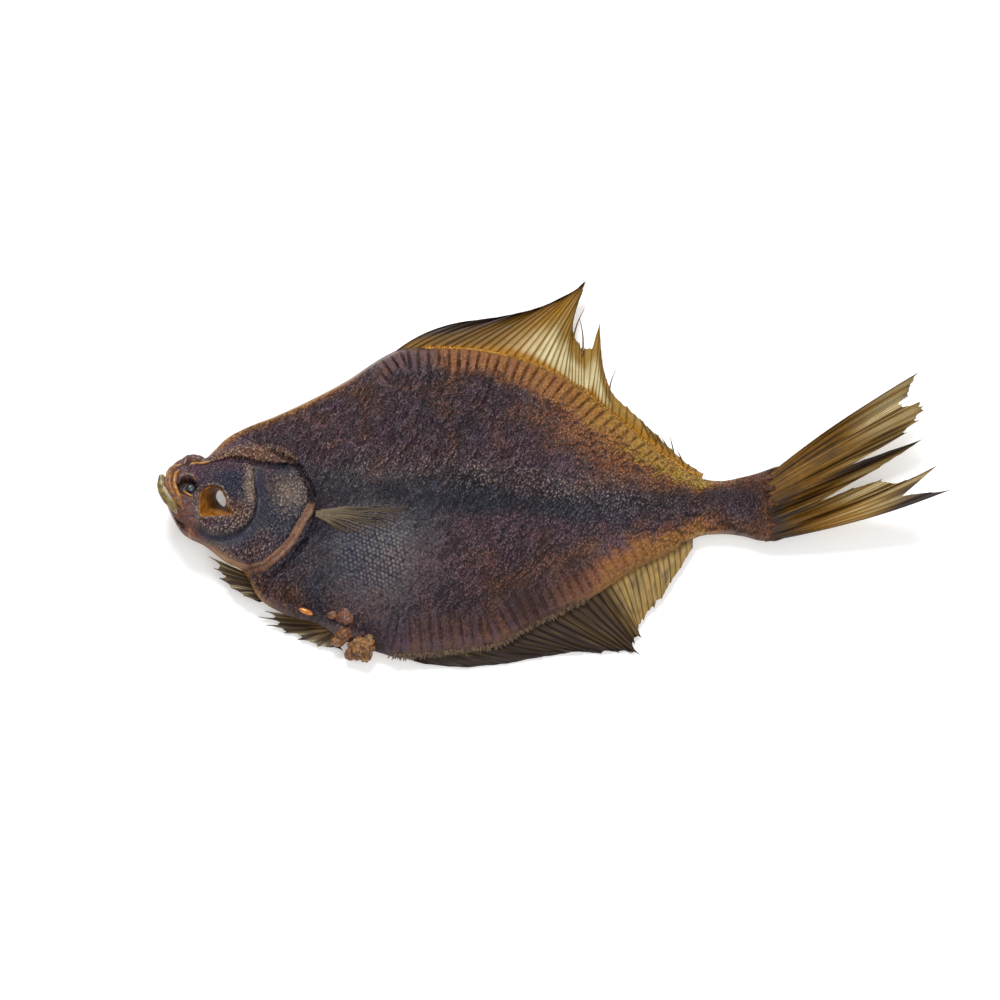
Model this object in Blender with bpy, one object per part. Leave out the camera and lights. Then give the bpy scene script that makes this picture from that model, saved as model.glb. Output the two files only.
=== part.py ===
"""A whole smoked and dried flounder, lying on its blind side with the eyed side up.

The fish is one solid: the body, head, jaw, fins and the strip of roe at the vent have grown together.
Working frame, in millimetres: X from the snout to the tail, Y from the belly to the back with 0 on the
lateral line, Z up from the table. The finished solid is scaled to metres and moved so that its origin
is the bottom centre of its box.
"""

import math

import bmesh
import bpy
import numpy as np
from mathutils import Vector, noise

NAME = "smoked_flounder"
MM = 0.001

# Lengths in millimetres. The fish measures 280 from the jaw to the tip of the tail.
BODY_START, BODY_END = 3.0, 228.0
MARGIN_HEIGHT = 4.2  # middle of the thin rim, above the table
HEAD_LIFT, HEAD_LIFT_END = 12.0, 75.0  # the dried head bends up in front of this station
TAIL_LIFT, TAIL_LIFT_START, TAIL_LIFT_END = 16.0, 190.0, 280.0
TAIL_LIFT_POWER = 1.8

# Rim of the body, as (x, y) knots: the roots of the back fin and of the belly fin.
BACK_RIM = (
    (3.0, 2.0), (4.4, 5.0), (7.8, 9.2), (12.4, 10.9), (17.0, 11.0), (20.5, 14.4), (24.1, 18.7),
    (31.2, 23.7), (41.8, 28.9), (52.4, 34.6), (66.6, 42.9), (80.7, 52.7), (87.8, 55.6), (101.6, 55.8),
    (114.3, 55.0), (131.7, 50.5), (147.6, 42.2), (164.3, 27.9), (181.1, 13.6), (193.6, 5.8), (199.9, 4.9),
    (207.1, 6.3), (214.3, 8.3), (220.8, 10.7), (228.0, 14.0),
)
BELLY_RIM = (
    (3.0, -5.4), (5.0, -10.2), (8.8, -17.0), (17.3, -21.8), (24.6, -27.2), (31.5, -31.0), (35.8, -39.0),
    (43.5, -44.5), (58.4, -49.2), (66.6, -54.7), (78.9, -59.1), (86.0, -61.0), (94.2, -60.5),
    (109.7, -58.8), (121.1, -56.5), (132.8, -49.7), (151.9, -39.9), (167.1, -29.4), (182.7, -21.1),
    (193.3, -15.1), (199.9, -14.7), (207.1, -15.7), (214.3, -17.8), (228.0, -18.2),
)
# Height of the eyed side above the rim and depth of the blind side below it, as (x, height) knots.
EYED_HEIGHT = (
    (3.0, 2.4), (8.0, 4.6), (20.0, 7.0), (40.0, 8.8), (60.0, 9.8), (90.0, 10.4), (130.0, 8.6),
    (165.0, 6.4), (195.0, 4.8), (215.0, 2.9), (224.0, 1.3), (228.0, 0.3),
)
BLIND_DEPTH = (
    (3.0, 1.8), (8.0, 3.2), (30.0, 5.0), (60.0, 6.2), (110.0, 6.6), (160.0, 5.6), (195.0, 3.6),
    (215.0, 2.2), (228.0, 0.3),
)
# Thickness of the rim itself, where the fins are rooted, as (x, thickness) knots.
RIM_THICKNESS = ((3.0, 3.2), (60.0, 3.2), (90.0, 2.4), (180.0, 2.2), (215.0, 2.6), (228.0, 1.8))
EYED_FULLNESS, BLIND_FULLNESS = 2.1, 2.6  # higher is flatter in the middle of the section

# Lines of relief on the eyed side.
GILL_EDGE = (
    (41.0, 11.4), (46.5, 10.0), (50.4, 6.6), (53.1, 0.0), (53.9, -5.4), (52.8, -10.6), (50.8, -17.2),
    (47.1, -24.1), (40.7, -29.6), (36.8, -31.0), (30.8, -29.8), (24.6, -26.4), (17.3, -21.0),
)
CHEEK_EDGE = (
    (37.6, 2.5), (37.0, -3.0), (36.2, -8.0), (35.2, -12.3), (32.9, -16.4), (28.7, -19.0), (23.0, -19.6),
    (15.0, -16.6),
)
SKULL_RIDGE = ((19.0, 5.0), (27.6, 9.1), (37.2, 10.5), (45.3, 8.6), (50.2, 8.2))
UPPER_LIP = ((8.2, 5.8), (5.8, 1.8), (5.4, -4.0), (7.2, -9.2), (10.4, -13.6))
NOSTRIL_FOLD = ((9.8, 9.0), (13.0, 10.6), (17.2, 9.8))
BELLY_FOLD = (
    (88.0, -3.0), (94.0, -11.0), (96.8, -20.0), (97.3, -28.2), (94.9, -42.5), (88.9, -51.1),
    (81.8, -59.0),
)
LATERAL_LINE = (
    (50.0, 1.3), (64.8, 3.7), (78.9, 5.2), (103.7, 5.4), (121.4, 2.7), (139.1, -1.5), (163.9, -3.5),
    (192.2, -4.9), (224.0, -5.6),
)
GILL_STEP, CHEEK_GROOVE, SKULL_STEP, LIP_RIDGE, BELLY_STEP = 1.5, 1.3, 1.7, 1.4, 1.3
RIB_PITCH, RIB_RELIEF, RIB_BAND = 3.7, 0.6, 12.0
RIB_START, RIB_END = 74.0, 184.0
BACKBONE_RELIEF, BACKBONE_WIDTH = 0.9, 5.0

# The lower eye is shrunk in its socket. The upper socket is empty and open right through the head:
# its outline on the eyed side and, knot by knot, the slit that it narrows to on the blind side.
LOW_EYE, LOW_EYE_RADIUS, LOW_EYE_DEPTH = (11.4, -2.6), 3.3, 2.4
EYEBALL_RADIUS = 1.7
HIGH_SOCKET = (
    (15.4, -2.6), (20.5, -1.8), (23.2, -4.6), (24.4, -10.4), (27.8, -12.2), (24.0, -13.6), (18.8, -14.4),
    (15.2, -12.6),
)
HIGH_SLIT = (
    (21.0, 1.2), (22.4, 2.4), (23.6, 1.2), (24.2, -1.0), (24.2, -4.0), (23.0, -4.8), (21.8, -3.6),
    (20.9, -1.2),
)

# Each row: x of the root on the rim, x and y of the tip, and the share of the ray that the web behind it
# keeps. The front rays of both long fins have dried together into one point, and behind it the webs are
# torn between single tips.
BACK_TIPS = (
    (79.0, 90.0, 59.6, 0.98), (88.0, 104.0, 63.6, 0.98), (96.0, 113.0, 65.7, 0.98),
    (104.0, 123.0, 67.4, 0.98), (112.0, 132.0, 69.2, 0.98), (119.0, 139.5, 71.6, 0.98),
    (125.5, 145.2, 74.4, 0.98), (131.0, 148.8, 77.0, 0.98), (135.5, 152.5, 80.5, 0.94),
    (139.0, 149.6, 72.4, 0.9), (142.5, 147.6, 66.0, 0.92), (145.5, 147.4, 62.4, 0.66),
    (148.0, 151.4, 70.4, 0.62), (150.5, 151.0, 57.4, 0.86), (153.0, 157.0, 65.2, 0.64),
    (155.5, 156.8, 51.4, 0.9), (158.0, 162.3, 47.8, 0.7), (162.0, 163.6, 36.0, 0.9),
    (166.5, 171.9, 28.9, 0.86), (171.5, 175.4, 21.4, 0.9), (176.0, 181.5, 21.6, 0.7),
    (181.0, 185.0, 13.6, 0.9), (187.0, 190.6, 8.8, 0.9),
)
BELLY_TIPS = (
    (84.0, 95.0, -62.6, 0.99), (94.0, 110.0, -63.4, 0.99), (103.0, 124.0, -61.9, 0.99),
    (112.0, 136.0, -59.6, 0.98), (119.0, 147.0, -58.0, 0.98), (125.0, 157.2, -58.2, 0.96),
    (130.5, 164.5, -57.6, 0.95), (135.5, 170.8, -59.0, 0.9), (140.0, 168.4, -53.6, 0.94),
    (144.0, 171.2, -52.4, 0.9), (149.0, 170.6, -47.0, 0.95), (155.0, 172.8, -43.8, 0.92),
    (161.0, 176.2, -41.2, 0.92), (167.0, 178.6, -37.4, 0.95), (173.0, 181.0, -32.8, 0.93),
    (180.0, 184.4, -27.0, 0.93), (188.0, 189.2, -18.6, 0.93),
)
# Tail tips from the upper ray to the lower one, with the share of web kept between each and the next.
TAIL_TIPS = (
    (269.6, 41.7, 0.95), (267.8, 36.6, 0.96), (266.4, 32.4, 0.86), (270.8, 30.4, 0.97),
    (271.6, 27.2, 0.94), (269.8, 23.2, 0.96), (265.5, 19.4, 0.48), (270.5, 15.6, 0.84),
    (264.6, 12.4, 0.9), (256.6, 7.6, 0.9), (245.0, 2.6, 0.26), (247.4, 0.2, 0.9), (259.0, 1.9, 0.9),
    (268.0, 3.8, 0.9), (275.4, 5.4, 0.72), (275.0, -3.2, 0.9), (280.4, -3.9, 0.9),
)
TAIL_ROOT_X, TAIL_ROOT_TOP, TAIL_ROOT_BOTTOM = 220.0, 9.6, -17.4
# The small fans: the root, then x and y of each tip and the share of web kept behind it.
PECTORAL_ROOT = (55.6, -10.0)
PECTORAL_TIPS = (
    (86.2, -4.8, 0.92), (84.6, -6.8, 0.92), (82.1, -9.1, 0.92), (79.8, -11.0, 0.92), (77.2, -12.6, 0.92),
    (74.2, -14.6, 0.92), (71.0, -16.6, 0.92),
)
PELVIC_ROOT, PELVIC_SPREAD, PELVIC_HEIGHTS = (63.0, -50.0), 4.0, (3.4, 1.6)
PELVIC_TIPS = (
    (38.6, -42.6, 0.86), (36.0, -44.8, 0.8), (38.8, -47.8, 0.9), (45.0, -50.6, 0.84), (50.0, -53.4, 0.9),
    (57.0, -56.0, 0.9), (66.0, -57.6, 0.9),
)
BLIND_FIN_ROOT, BLIND_FIN_SPREAD, BLIND_FIN_HEIGHTS = (39.5, -36.5), 6.0, (5.4, 5.9)
BLIND_FIN_TIPS = (
    (19.4, -24.0, 0.86), (17.6, -27.0, 0.8), (20.0, -30.2, 0.86), (24.6, -33.6, 0.9), (30.6, -37.4, 0.9),
)
# Heights of the tips of the long fins over the table, as (x of the root, height) knots.
BACK_TIP_HEIGHTS = ((79.0, 4.6), (120.0, 6.4), (136.0, 8.0), (150.0, 6.6), (188.0, 4.6))
BELLY_TIP_HEIGHTS = ((84.0, 1.6), (120.0, 1.2), (140.0, 1.2), (165.0, 2.2), (188.0, 3.6))
FIN_BOW = 0.10  # how far the rays of the long fins bow towards the head, as a share of their length
RAYS_PER_TIP = 2
FIN_ROOT_DEPTH = 2.4

# The jaw blade: x, y, height over the rim, half width and half height, from the tip back.
JAW = (
    (0.9, 1.7, 1.6, 0.5, 0.8), (0.6, -1.2, 1.2, 1.3, 1.2), (2.9, -5.4, 0.8, 1.6, 1.6),
    (6.0, -10.4, 0.6, 1.9, 2.0), (10.4, -15.6, 0.0, 1.6, 2.0),
)
# Two crusty lumps of roe at the vent: centre and half sizes.
ROE = (((65.8, -46.2, 8.6), (5.2, 3.6, 2.6)), ((70.6, -56.0, 4.6), (5.6, 6.2, 4.0)))
ROE_CRUST = 0.4  # how far noise pushes the roe in and out, as a share of its size

STATIONS, EYED_COLUMNS, BLIND_COLUMNS = 200, 48, 14
BODY_KEPT = 0.245  # share of the loft's triangles that the decimated body keeps


def through(knots, at):
    """A smooth line through (x, y) knots, read at each x: cubic pieces whose slopes never overshoot."""
    x, y = np.array(knots, float).T
    step = np.diff(y) / np.diff(x)
    slope = np.concatenate([[step[0]], (step[1:] + step[:-1]) / 2, [step[-1]]])
    turns = np.concatenate([[False], step[1:] * step[:-1] <= 0, [False]])
    limit = 3 * np.minimum(np.abs(np.append(step, step[-1])), np.abs(np.insert(step, 0, step[0])))
    slope = np.where(turns, 0.0, np.clip(slope, -limit, limit))
    i = np.clip(np.searchsorted(x, at) - 1, 0, len(x) - 2)
    h = x[i + 1] - x[i]
    t = np.clip((at - x[i]) / h, 0, 1)
    return (
        (1 + 2 * t) * (1 - t) ** 2 * y[i]
        + t * (1 - t) ** 2 * h * slope[i]
        + t**2 * (3 - 2 * t) * y[i + 1]
        + t**2 * (t - 1) * h * slope[i + 1]
    )


def rise(value, low, high):
    """0 below low, 1 above high and a smooth step between them."""
    t = np.clip((value - low) / (high - low), 0, 1)
    return t * t * (3 - 2 * t)


def lift(x):
    """How far the dried fish bends up off the table at station x."""
    head = np.clip((HEAD_LIFT_END - x) / HEAD_LIFT_END, 0, 1.1) ** 2
    tail = np.clip((x - TAIL_LIFT_START) / (TAIL_LIFT_END - TAIL_LIFT_START), 0, 1.1) ** TAIL_LIFT_POWER
    return HEAD_LIFT * head + TAIL_LIFT * tail


def to_line(x, y, line):
    """How far each point is from a polyline, positive on the left of its way, and how far along it."""
    best = np.full(np.shape(x), 1e9)
    side, along = np.zeros(np.shape(x)), np.zeros(np.shape(x))
    travelled = 0.0
    for (ax, ay), (bx, by) in zip(line, line[1:]):
        ux, uy = bx - ax, by - ay
        length = math.hypot(ux, uy)
        t = np.clip(((x - ax) * ux + (y - ay) * uy) / length**2, 0, 1)
        away = np.hypot(x - ax - t * ux, y - ay - t * uy)
        nearer = away < best
        best = np.where(nearer, away, best)
        side = np.where(nearer, np.sign(ux * (y - ay) - uy * (x - ax)), side)
        along = np.where(nearer, travelled + t * length, along)
        travelled += length
    return best * side, along


def ridge(distance, half_width):
    return np.exp(-((distance / half_width) ** 2))


def rib_relief(x, y, rim, inward):
    """The row of fin supports under the skin: ridges square to the rim, fading out towards the middle."""
    line = [(a, through(rim, a)) for a in np.arange(RIB_START, RIB_END, 4.0)]
    distance, along = to_line(x, y, line)
    depth = distance * inward
    band = rise(depth, 0.4, 2.0) * (1 - rise(depth, RIB_BAND - 4, RIB_BAND))
    ends = rise(x, RIB_START, RIB_START + 12) * (1 - rise(x, RIB_END - 22, RIB_END))
    return RIB_RELIEF * band * ends * np.cos(2 * math.pi * along / RIB_PITCH)


def eyed_relief(x, y):
    """Everything that stands out of the smooth eyed side, in millimetres."""
    gill, _ = to_line(x, y, GILL_EDGE)
    head_end = rise(x, 14, 26)
    cover = rise(-gill, -0.2, 1.0) * (1 - rise(-gill, 7, 18))
    relief = GILL_STEP * head_end * (cover - ridge(gill - 1.2, 1.3))
    cheek, _ = to_line(x, y, CHEEK_EDGE)
    relief = relief - CHEEK_GROOVE * ridge(cheek - 1.2, 1.7) + 0.7 * ridge(cheek + 1.6, 2.2)
    skull, _ = to_line(x, y, SKULL_RIDGE)
    relief = relief + SKULL_STEP * np.where(skull > 0, ridge(skull, 3.4), ridge(skull, 1.1))
    lip, _ = to_line(x, y, UPPER_LIP)
    relief = relief + LIP_RIDGE * (ridge(lip, 1.5) - 0.6 * ridge(lip + 2.2, 0.9))
    fold, _ = to_line(x, y, NOSTRIL_FOLD)
    relief = relief + 1.2 * ridge(fold, 1.3)
    low_eye = np.hypot(x - LOW_EYE[0], y - LOW_EYE[1])
    relief = relief + 0.9 * ridge(low_eye - LOW_EYE_RADIUS - 0.6, 0.9)
    relief = relief - LOW_EYE_DEPTH * (1 - rise(low_eye, LOW_EYE_RADIUS - 1.6, LOW_EYE_RADIUS))
    belly, _ = to_line(x, y, BELLY_FOLD)
    inside = rise(-belly, -0.4, 2.4) * rise(gill, 2.5, 8.0) * (1 - rise(y, -8, 2))
    relief = relief - BELLY_STEP * inside + 0.6 * ridge(belly - 2.4, 3.0) * (1 - rise(y, -14, -4))
    middle, _ = to_line(x, y, LATERAL_LINE)
    backbone = ridge(middle, BACKBONE_WIDTH) * rise(x, 60, 90) * (1 - rise(x, 205, 222))
    relief = relief + BACKBONE_RELIEF * backbone
    relief = relief + rib_relief(x, y, BACK_RIM, -1) + rib_relief(x, y, BELLY_RIM, 1)
    return relief


def eyed_surface(x, y):
    """Height of the eyed side over the table at any point inside the rim."""
    back, belly = through(BACK_RIM, x), through(BELLY_RIM, x)
    across = np.clip((2 * y - back - belly) / (back - belly), -1, 1)
    crown = (1 - np.abs(across) ** EYED_FULLNESS) ** 0.72
    edge = rise(1 - np.abs(across), 0.0, 0.12)
    height = MARGIN_HEIGHT + lift(x) + through(RIM_THICKNESS, x) / 2 * rise(1 - np.abs(across), 0.0, 0.05)
    return height + through(EYED_HEIGHT, x) * crown + eyed_relief(x, y) * edge


def blind_surface(x, y):
    """Height of the blind side, which lies flat on the table in the middle of the body."""
    back, belly = through(BACK_RIM, x), through(BELLY_RIM, x)
    across = np.clip((2 * y - back - belly) / (back - belly), -1, 1)
    crown = (1 - np.abs(across) ** BLIND_FULLNESS) ** 0.8
    height = MARGIN_HEIGHT + lift(x) - through(RIM_THICKNESS, x) / 2 * rise(1 - np.abs(across), 0.0, 0.05)
    return np.maximum(height - through(BLIND_DEPTH, x) * crown, 0.0)


def worked_object(name, work):
    """An object in the scene from an edited mesh, its normals turned outwards."""
    mesh = bpy.data.meshes.new(name)
    bmesh.ops.recalc_face_normals(work, faces=work.faces)
    work.to_mesh(mesh)
    work.free()
    obj = bpy.data.objects.new(name, mesh)
    bpy.context.scene.collection.objects.link(obj)
    return obj


def mesh_object(name, points, faces):
    """An object in the scene from points and faces."""
    mesh = bpy.data.meshes.new(name)
    mesh.from_pydata([tuple(p) for p in points], [], faces)
    work = bmesh.new()
    work.from_mesh(mesh)
    bpy.data.meshes.remove(mesh)
    return worked_object(name, work)


def applied(obj, kind, **settings):
    """The object with one modifier added and made part of its mesh."""
    modifier = obj.modifiers.new(kind.title(), kind)
    for key, value in settings.items():
        setattr(modifier, key, value)
    graph = bpy.context.evaluated_depsgraph_get()
    mesh = bpy.data.meshes.new_from_object(obj.evaluated_get(graph))
    obj.modifiers.clear()
    obj.data = mesh
    return obj


def columns_across(count):
    """Places from the belly rim at -1 to the back rim at 1, closer together near the rims."""
    return (np.linspace(-1, 1, count) - np.cos(np.linspace(0, math.pi, count))) / 2


def body():
    """The body as a loft: closed sections along X, each the eyed side over and the blind side back."""
    share = np.linspace(0, 1, STATIONS)
    stations = BODY_START + (BODY_END - BODY_START) * (0.55 * share + 0.45 * share**1.7)
    across = np.concatenate([columns_across(EYED_COLUMNS), -columns_across(BLIND_COLUMNS)[1:-1]])
    x = np.repeat(stations[:, None], len(across), axis=1)
    back, belly = through(BACK_RIM, x), through(BELLY_RIM, x)
    y = (back + belly) / 2 + across * (back - belly) / 2
    z = np.where(np.arange(len(across)) < EYED_COLUMNS, eyed_surface(x, y), blind_surface(x, y))
    rings, around = x.shape
    points = np.stack([x, y, z], axis=-1).reshape(-1, 3)
    faces = []
    for i in range(rings - 1):
        for j in range(around):
            k = (j + 1) % around
            faces.append((i * around + j, i * around + k, (i + 1) * around + k, (i + 1) * around + j))
    for i in (0, rings - 1):
        middle = len(points)
        points = np.vstack([points, points[i * around:(i + 1) * around].mean(axis=0)])
        faces += [(i * around + j, i * around + (j + 1) % around, middle) for j in range(around)]
    obj = mesh_object("body", points, faces)
    applied(obj, "DECIMATE", ratio=BODY_KEPT, use_collapse_triangulate=True)
    for vertex in obj.data.vertices:
        if vertex.co.z < 0.06:
            vertex.co.z = 0.0
    return obj


def curved_rays(roots, tips, bow, rows):
    """Each ray as a bowed line from its root to its tip: rays x rows x 3."""
    roots, tips = np.array(roots, float)[:, None], np.array(tips, float)[:, None]
    s = np.linspace(0, 1, rows)[None, :, None]
    middle = (roots + tips) / 2 + np.array(bow, float)[:, None]
    return (1 - s) ** 2 * roots + 2 * s * (1 - s) * middle + s**2 * tips


def fin(name, rays, webs, root_thickness, tip_thickness, web_thickness):
    """A pleated fin: rays as ridges, the web between two rays thinner and ending short of their tips.

    webs holds, for each gap, the share of the rays' length that the web keeps.
    """
    count, rows, _ = rays.shape
    s = np.linspace(0, 1, rows)
    columns, thickness = [], []
    for i in range(count):
        columns.append(rays[i])
        thickness.append(root_thickness + (tip_thickness - root_thickness) * s)
        if i + 1 < count:
            fraction = s * webs[i]
            left = np.stack([np.interp(fraction, s, rays[i][:, k]) for k in range(3)], axis=-1)
            right = np.stack([np.interp(fraction, s, rays[i + 1][:, k]) for k in range(3)], axis=-1)
            columns.append((left + right) / 2)
            thickness.append(np.full(rows, web_thickness))
    middle, half = np.array(columns), np.array(thickness)[..., None] / 2 * np.array([0, 0, 1])
    wide = len(columns)
    points = np.concatenate([(middle + half).reshape(-1, 3), (middle - half).reshape(-1, 3)])
    under = wide * rows
    faces = []
    for i in range(wide - 1):
        for j in range(rows - 1):
            a, b, c, d = i * rows + j, (i + 1) * rows + j, (i + 1) * rows + j + 1, i * rows + j + 1
            faces += [(a, b, c), (a, c, d)]
            faces += [(under + a, under + c, under + b), (under + a, under + d, under + c)]
    rim = [i * rows for i in range(wide)] + [(wide - 1) * rows + j for j in range(1, rows)]
    rim += [i * rows + rows - 1 for i in range(wide - 2, -1, -1)] + [j for j in range(rows - 2, 0, -1)]
    for a, b in zip(rim, rim[1:] + rim[:1]):
        faces += [(a, b, under + b), (a, under + b, under + a)]
    return mesh_object(name, points, faces)


def long_fin(name, rim, tips, tip_heights, inward, rows):
    """The back or belly fin, its rays rooted inside the rim and bowed towards the tail."""
    knots = np.arange(len(tips))
    ray = np.linspace(0, len(tips) - 1, RAYS_PER_TIP * (len(tips) - 1) + 1)
    root_x, tip_x, tip_y, webs = (np.interp(ray, knots, [t[k] for t in tips]) for k in range(4))
    root_y = through(rim, root_x) - inward * FIN_ROOT_DEPTH
    tip_z = np.interp(root_x, *np.array(tip_heights).T)
    roots = np.stack([root_x, root_y, MARGIN_HEIGHT + lift(root_x)], axis=-1)
    ends = np.stack([tip_x, tip_y, tip_z], axis=-1)
    bow = FIN_BOW * np.hypot(tip_x - root_x, tip_y - root_y)
    bows = np.stack([-bow, inward * bow, np.zeros(len(ray))], axis=-1)
    return fin(name, curved_rays(roots, ends, bows, rows), webs[:-1], 2.2, 0.8, 1.0)


def tail_fin():
    count = len(TAIL_TIPS)
    share = np.linspace(0, 1, count)
    root_y = TAIL_ROOT_TOP + (TAIL_ROOT_BOTTOM - TAIL_ROOT_TOP) * share
    root_x = np.full(count, TAIL_ROOT_X)
    tips = np.array(TAIL_TIPS)
    roots = np.stack([root_x, root_y, MARGIN_HEIGHT + lift(root_x)], axis=-1)
    ends = np.stack([tips[:, 0], tips[:, 1], MARGIN_HEIGHT + lift(tips[:, 0])], axis=-1)
    bows = np.stack([np.zeros(count), 1.4 - 4.6 * share, np.full(count, -1.2)], axis=-1)
    return fin("tail_fin", curved_rays(roots, ends, bows, 5), tips[:-1, 2], 2.2, 0.8, 0.7)


def fan(name, root, spread, heights, tips):
    """A small fan fin: rays from a short root line to their tips."""
    tips = np.array(tips)
    share = np.linspace(0.5, -0.5, len(tips))
    roots = np.stack([root[0] + 0 * share, root[1] + share * spread, heights[0] + 0 * share], axis=-1)
    ends = np.stack([tips[:, 0], tips[:, 1], heights[1] + 0 * share], axis=-1)
    return fin(name, curved_rays(roots, ends, 0 * ends, 3), tips[:-1, 2], 1.8, 0.8, 0.8)


def pectoral_fin():
    """The fin on the eyed side, dried onto the skin: its rays follow the surface."""
    tips = np.array(PECTORAL_TIPS)
    order = np.arange(len(tips))
    roots = np.stack([PECTORAL_ROOT[0] + 0 * order, PECTORAL_ROOT[1] - 0.35 * order, 0 * order], axis=-1)
    ends = np.stack([tips[:, 0], tips[:, 1], 0 * order], axis=-1)
    bows = np.stack([0 * order, 1.6 - 0.3 * order, 0 * order], axis=-1)
    rays = curved_rays(roots, ends, bows, 6)
    rays[..., 2] = eyed_surface(rays[..., 0], rays[..., 1]) + 0.1
    return fin("pectoral_fin", rays, tips[:-1, 2], 2.2, 1.9, 1.4)


def lump(name, centre, size, seed):
    """A crusty piece of roe: a sphere pushed in and out by noise."""
    work = bmesh.new()
    bmesh.ops.create_icosphere(work, subdivisions=2, radius=1.0)
    for vertex in work.verts:
        crust = 1 + ROE_CRUST * noise.noise(vertex.co * 2.3 + Vector((seed, 0, 0)))
        vertex.co = Vector([c + v * s * crust for c, v, s in zip(centre, vertex.co, size)])
        vertex.co.z = max(vertex.co.z, 0.4)
    return worked_object(name, work)


def lower_jaw():
    """The jaw blade in front of the mouth: a flat bar of elliptic sections, bent up to its tip."""
    around = 8
    angles = np.linspace(0, 2 * math.pi, around, endpoint=False)
    x, y, height, half_width, half_height = np.array(JAW).T
    way = np.stack([np.gradient(y), -np.gradient(x)], axis=-1)
    way /= np.linalg.norm(way, axis=-1, keepdims=True)
    side = half_width[:, None] * np.cos(angles)
    points = np.stack([
        x[:, None] + way[:, :1] * side,
        y[:, None] + way[:, 1:] * side,
        MARGIN_HEIGHT + lift(2.0) + height[:, None] + half_height[:, None] * np.sin(angles),
    ], axis=-1).reshape(-1, 3)
    faces = []
    for i in range(len(JAW) - 1):
        for j in range(around):
            k = (j + 1) % around
            faces.append((i * around + j, i * around + k, (i + 1) * around + k, (i + 1) * around + j))
    faces += [tuple(range(around)), tuple(range(len(points) - around, len(points)))]
    return mesh_object("lower_jaw", points, faces)


def eyeball():
    """The shrunk eye at the bottom of its socket."""
    x, y = LOW_EYE[0] + 0.5, LOW_EYE[1] - 0.3
    height = float(eyed_surface(np.array(x), np.array(y))) + 0.1
    work = bmesh.new()
    bmesh.ops.create_uvsphere(work, u_segments=14, v_segments=8, radius=EYEBALL_RADIUS)
    for vertex in work.verts:
        vertex.co += Vector((x, y, height))
    return worked_object("eyeball", work)


def socket_cutter():
    """A funnel through the head: the empty socket above, narrowing to a slit at the blind side."""
    top = float(eyed_surface(np.array(20.0), np.array(-8.0))) + 3
    bottom = float(blind_surface(np.array(22.5), np.array(-1.0))) - 3
    count = len(HIGH_SOCKET)
    points = [(*p, top) for p in HIGH_SOCKET] + [(*p, bottom) for p in HIGH_SLIT]
    faces = [(i, (i + 1) % count, count + (i + 1) % count, count + i) for i in range(count)]
    faces += [tuple(range(count)), tuple(range(count, 2 * count))]
    return mesh_object("socket_cutter", points, faces)


def join_into(target, pieces):
    """One Boolean union of the target with a collection of pieces, which are then removed."""
    group = bpy.data.collections.new("joined_pieces")
    bpy.context.scene.collection.children.link(group)
    for piece in pieces:
        bpy.context.scene.collection.objects.unlink(piece)
        group.objects.link(piece)
    applied(target, "BOOLEAN", operation="UNION", solver="MANIFOLD", operand_type="COLLECTION",
            collection=group)
    for piece in pieces:
        bpy.data.objects.remove(piece)
    bpy.data.collections.remove(group)


def smoked_skin():
    material = bpy.data.materials.new("smoked_skin")
    material.use_nodes = True
    shader = material.node_tree.nodes["Principled BSDF"]
    shader.inputs["Base Color"].default_value = (0.062, 0.032, 0.020, 1)
    shader.inputs["Roughness"].default_value = 0.42
    shader.inputs["Metallic"].default_value = 0.0
    return material


def stand_at_origin(obj):
    """Scales the solid to metres and puts the origin at the bottom centre of its box."""
    points = np.array([v.co for v in obj.data.vertices])
    low, high = points.min(axis=0), points.max(axis=0)
    centre = Vector(((low[0] + high[0]) / 2, (low[1] + high[1]) / 2, low[2]))
    for vertex in obj.data.vertices:
        vertex.co = (vertex.co - centre) * MM


def main():
    for obj in list(bpy.data.objects):
        bpy.data.objects.remove(obj)
    fish = body()
    pieces = [
        long_fin("back_fin", BACK_RIM, BACK_TIPS, BACK_TIP_HEIGHTS, 1, 4),
        long_fin("belly_fin", BELLY_RIM, BELLY_TIPS, BELLY_TIP_HEIGHTS, -1, 3),
        tail_fin(),
        pectoral_fin(),
        fan("pelvic_fin", PELVIC_ROOT, PELVIC_SPREAD, PELVIC_HEIGHTS, PELVIC_TIPS),
        fan("blind_fin", BLIND_FIN_ROOT, BLIND_FIN_SPREAD, BLIND_FIN_HEIGHTS, BLIND_FIN_TIPS),
        lower_jaw(),
        eyeball(),
    ]
    for i, (centre, size) in enumerate(ROE):
        pieces.append(lump(f"roe_{i}", centre, size, 1.0 + 4.0 * i))
    join_into(fish, pieces)
    cutter = socket_cutter()
    applied(fish, "BOOLEAN", operation="DIFFERENCE", solver="MANIFOLD", object=cutter)
    bpy.data.objects.remove(cutter)
    fish.name = NAME
    fish.data.name = NAME
    fish.data.materials.clear()
    fish.data.materials.append(smoked_skin())
    stand_at_origin(fish)
    fish.data.shade_smooth()
    fish.data.set_sharp_from_angle(angle=math.radians(40))
    parts = bpy.data.collections.new(NAME)
    bpy.context.scene.collection.children.link(parts)
    bpy.context.scene.collection.objects.unlink(fish)
    parts.objects.link(fish)


main()
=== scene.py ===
"""The smoked and dried flounder, dressed in its skin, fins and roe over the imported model.

The file is laid out as an add-on and is run as a script. Shapes are worked out in a working frame in
millimetres: X from the snout to the tail, Y from the belly to the back with 0 on the lateral line, Z up
from the table. to_row moves them to the frame's metres.
"""

import math

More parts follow.
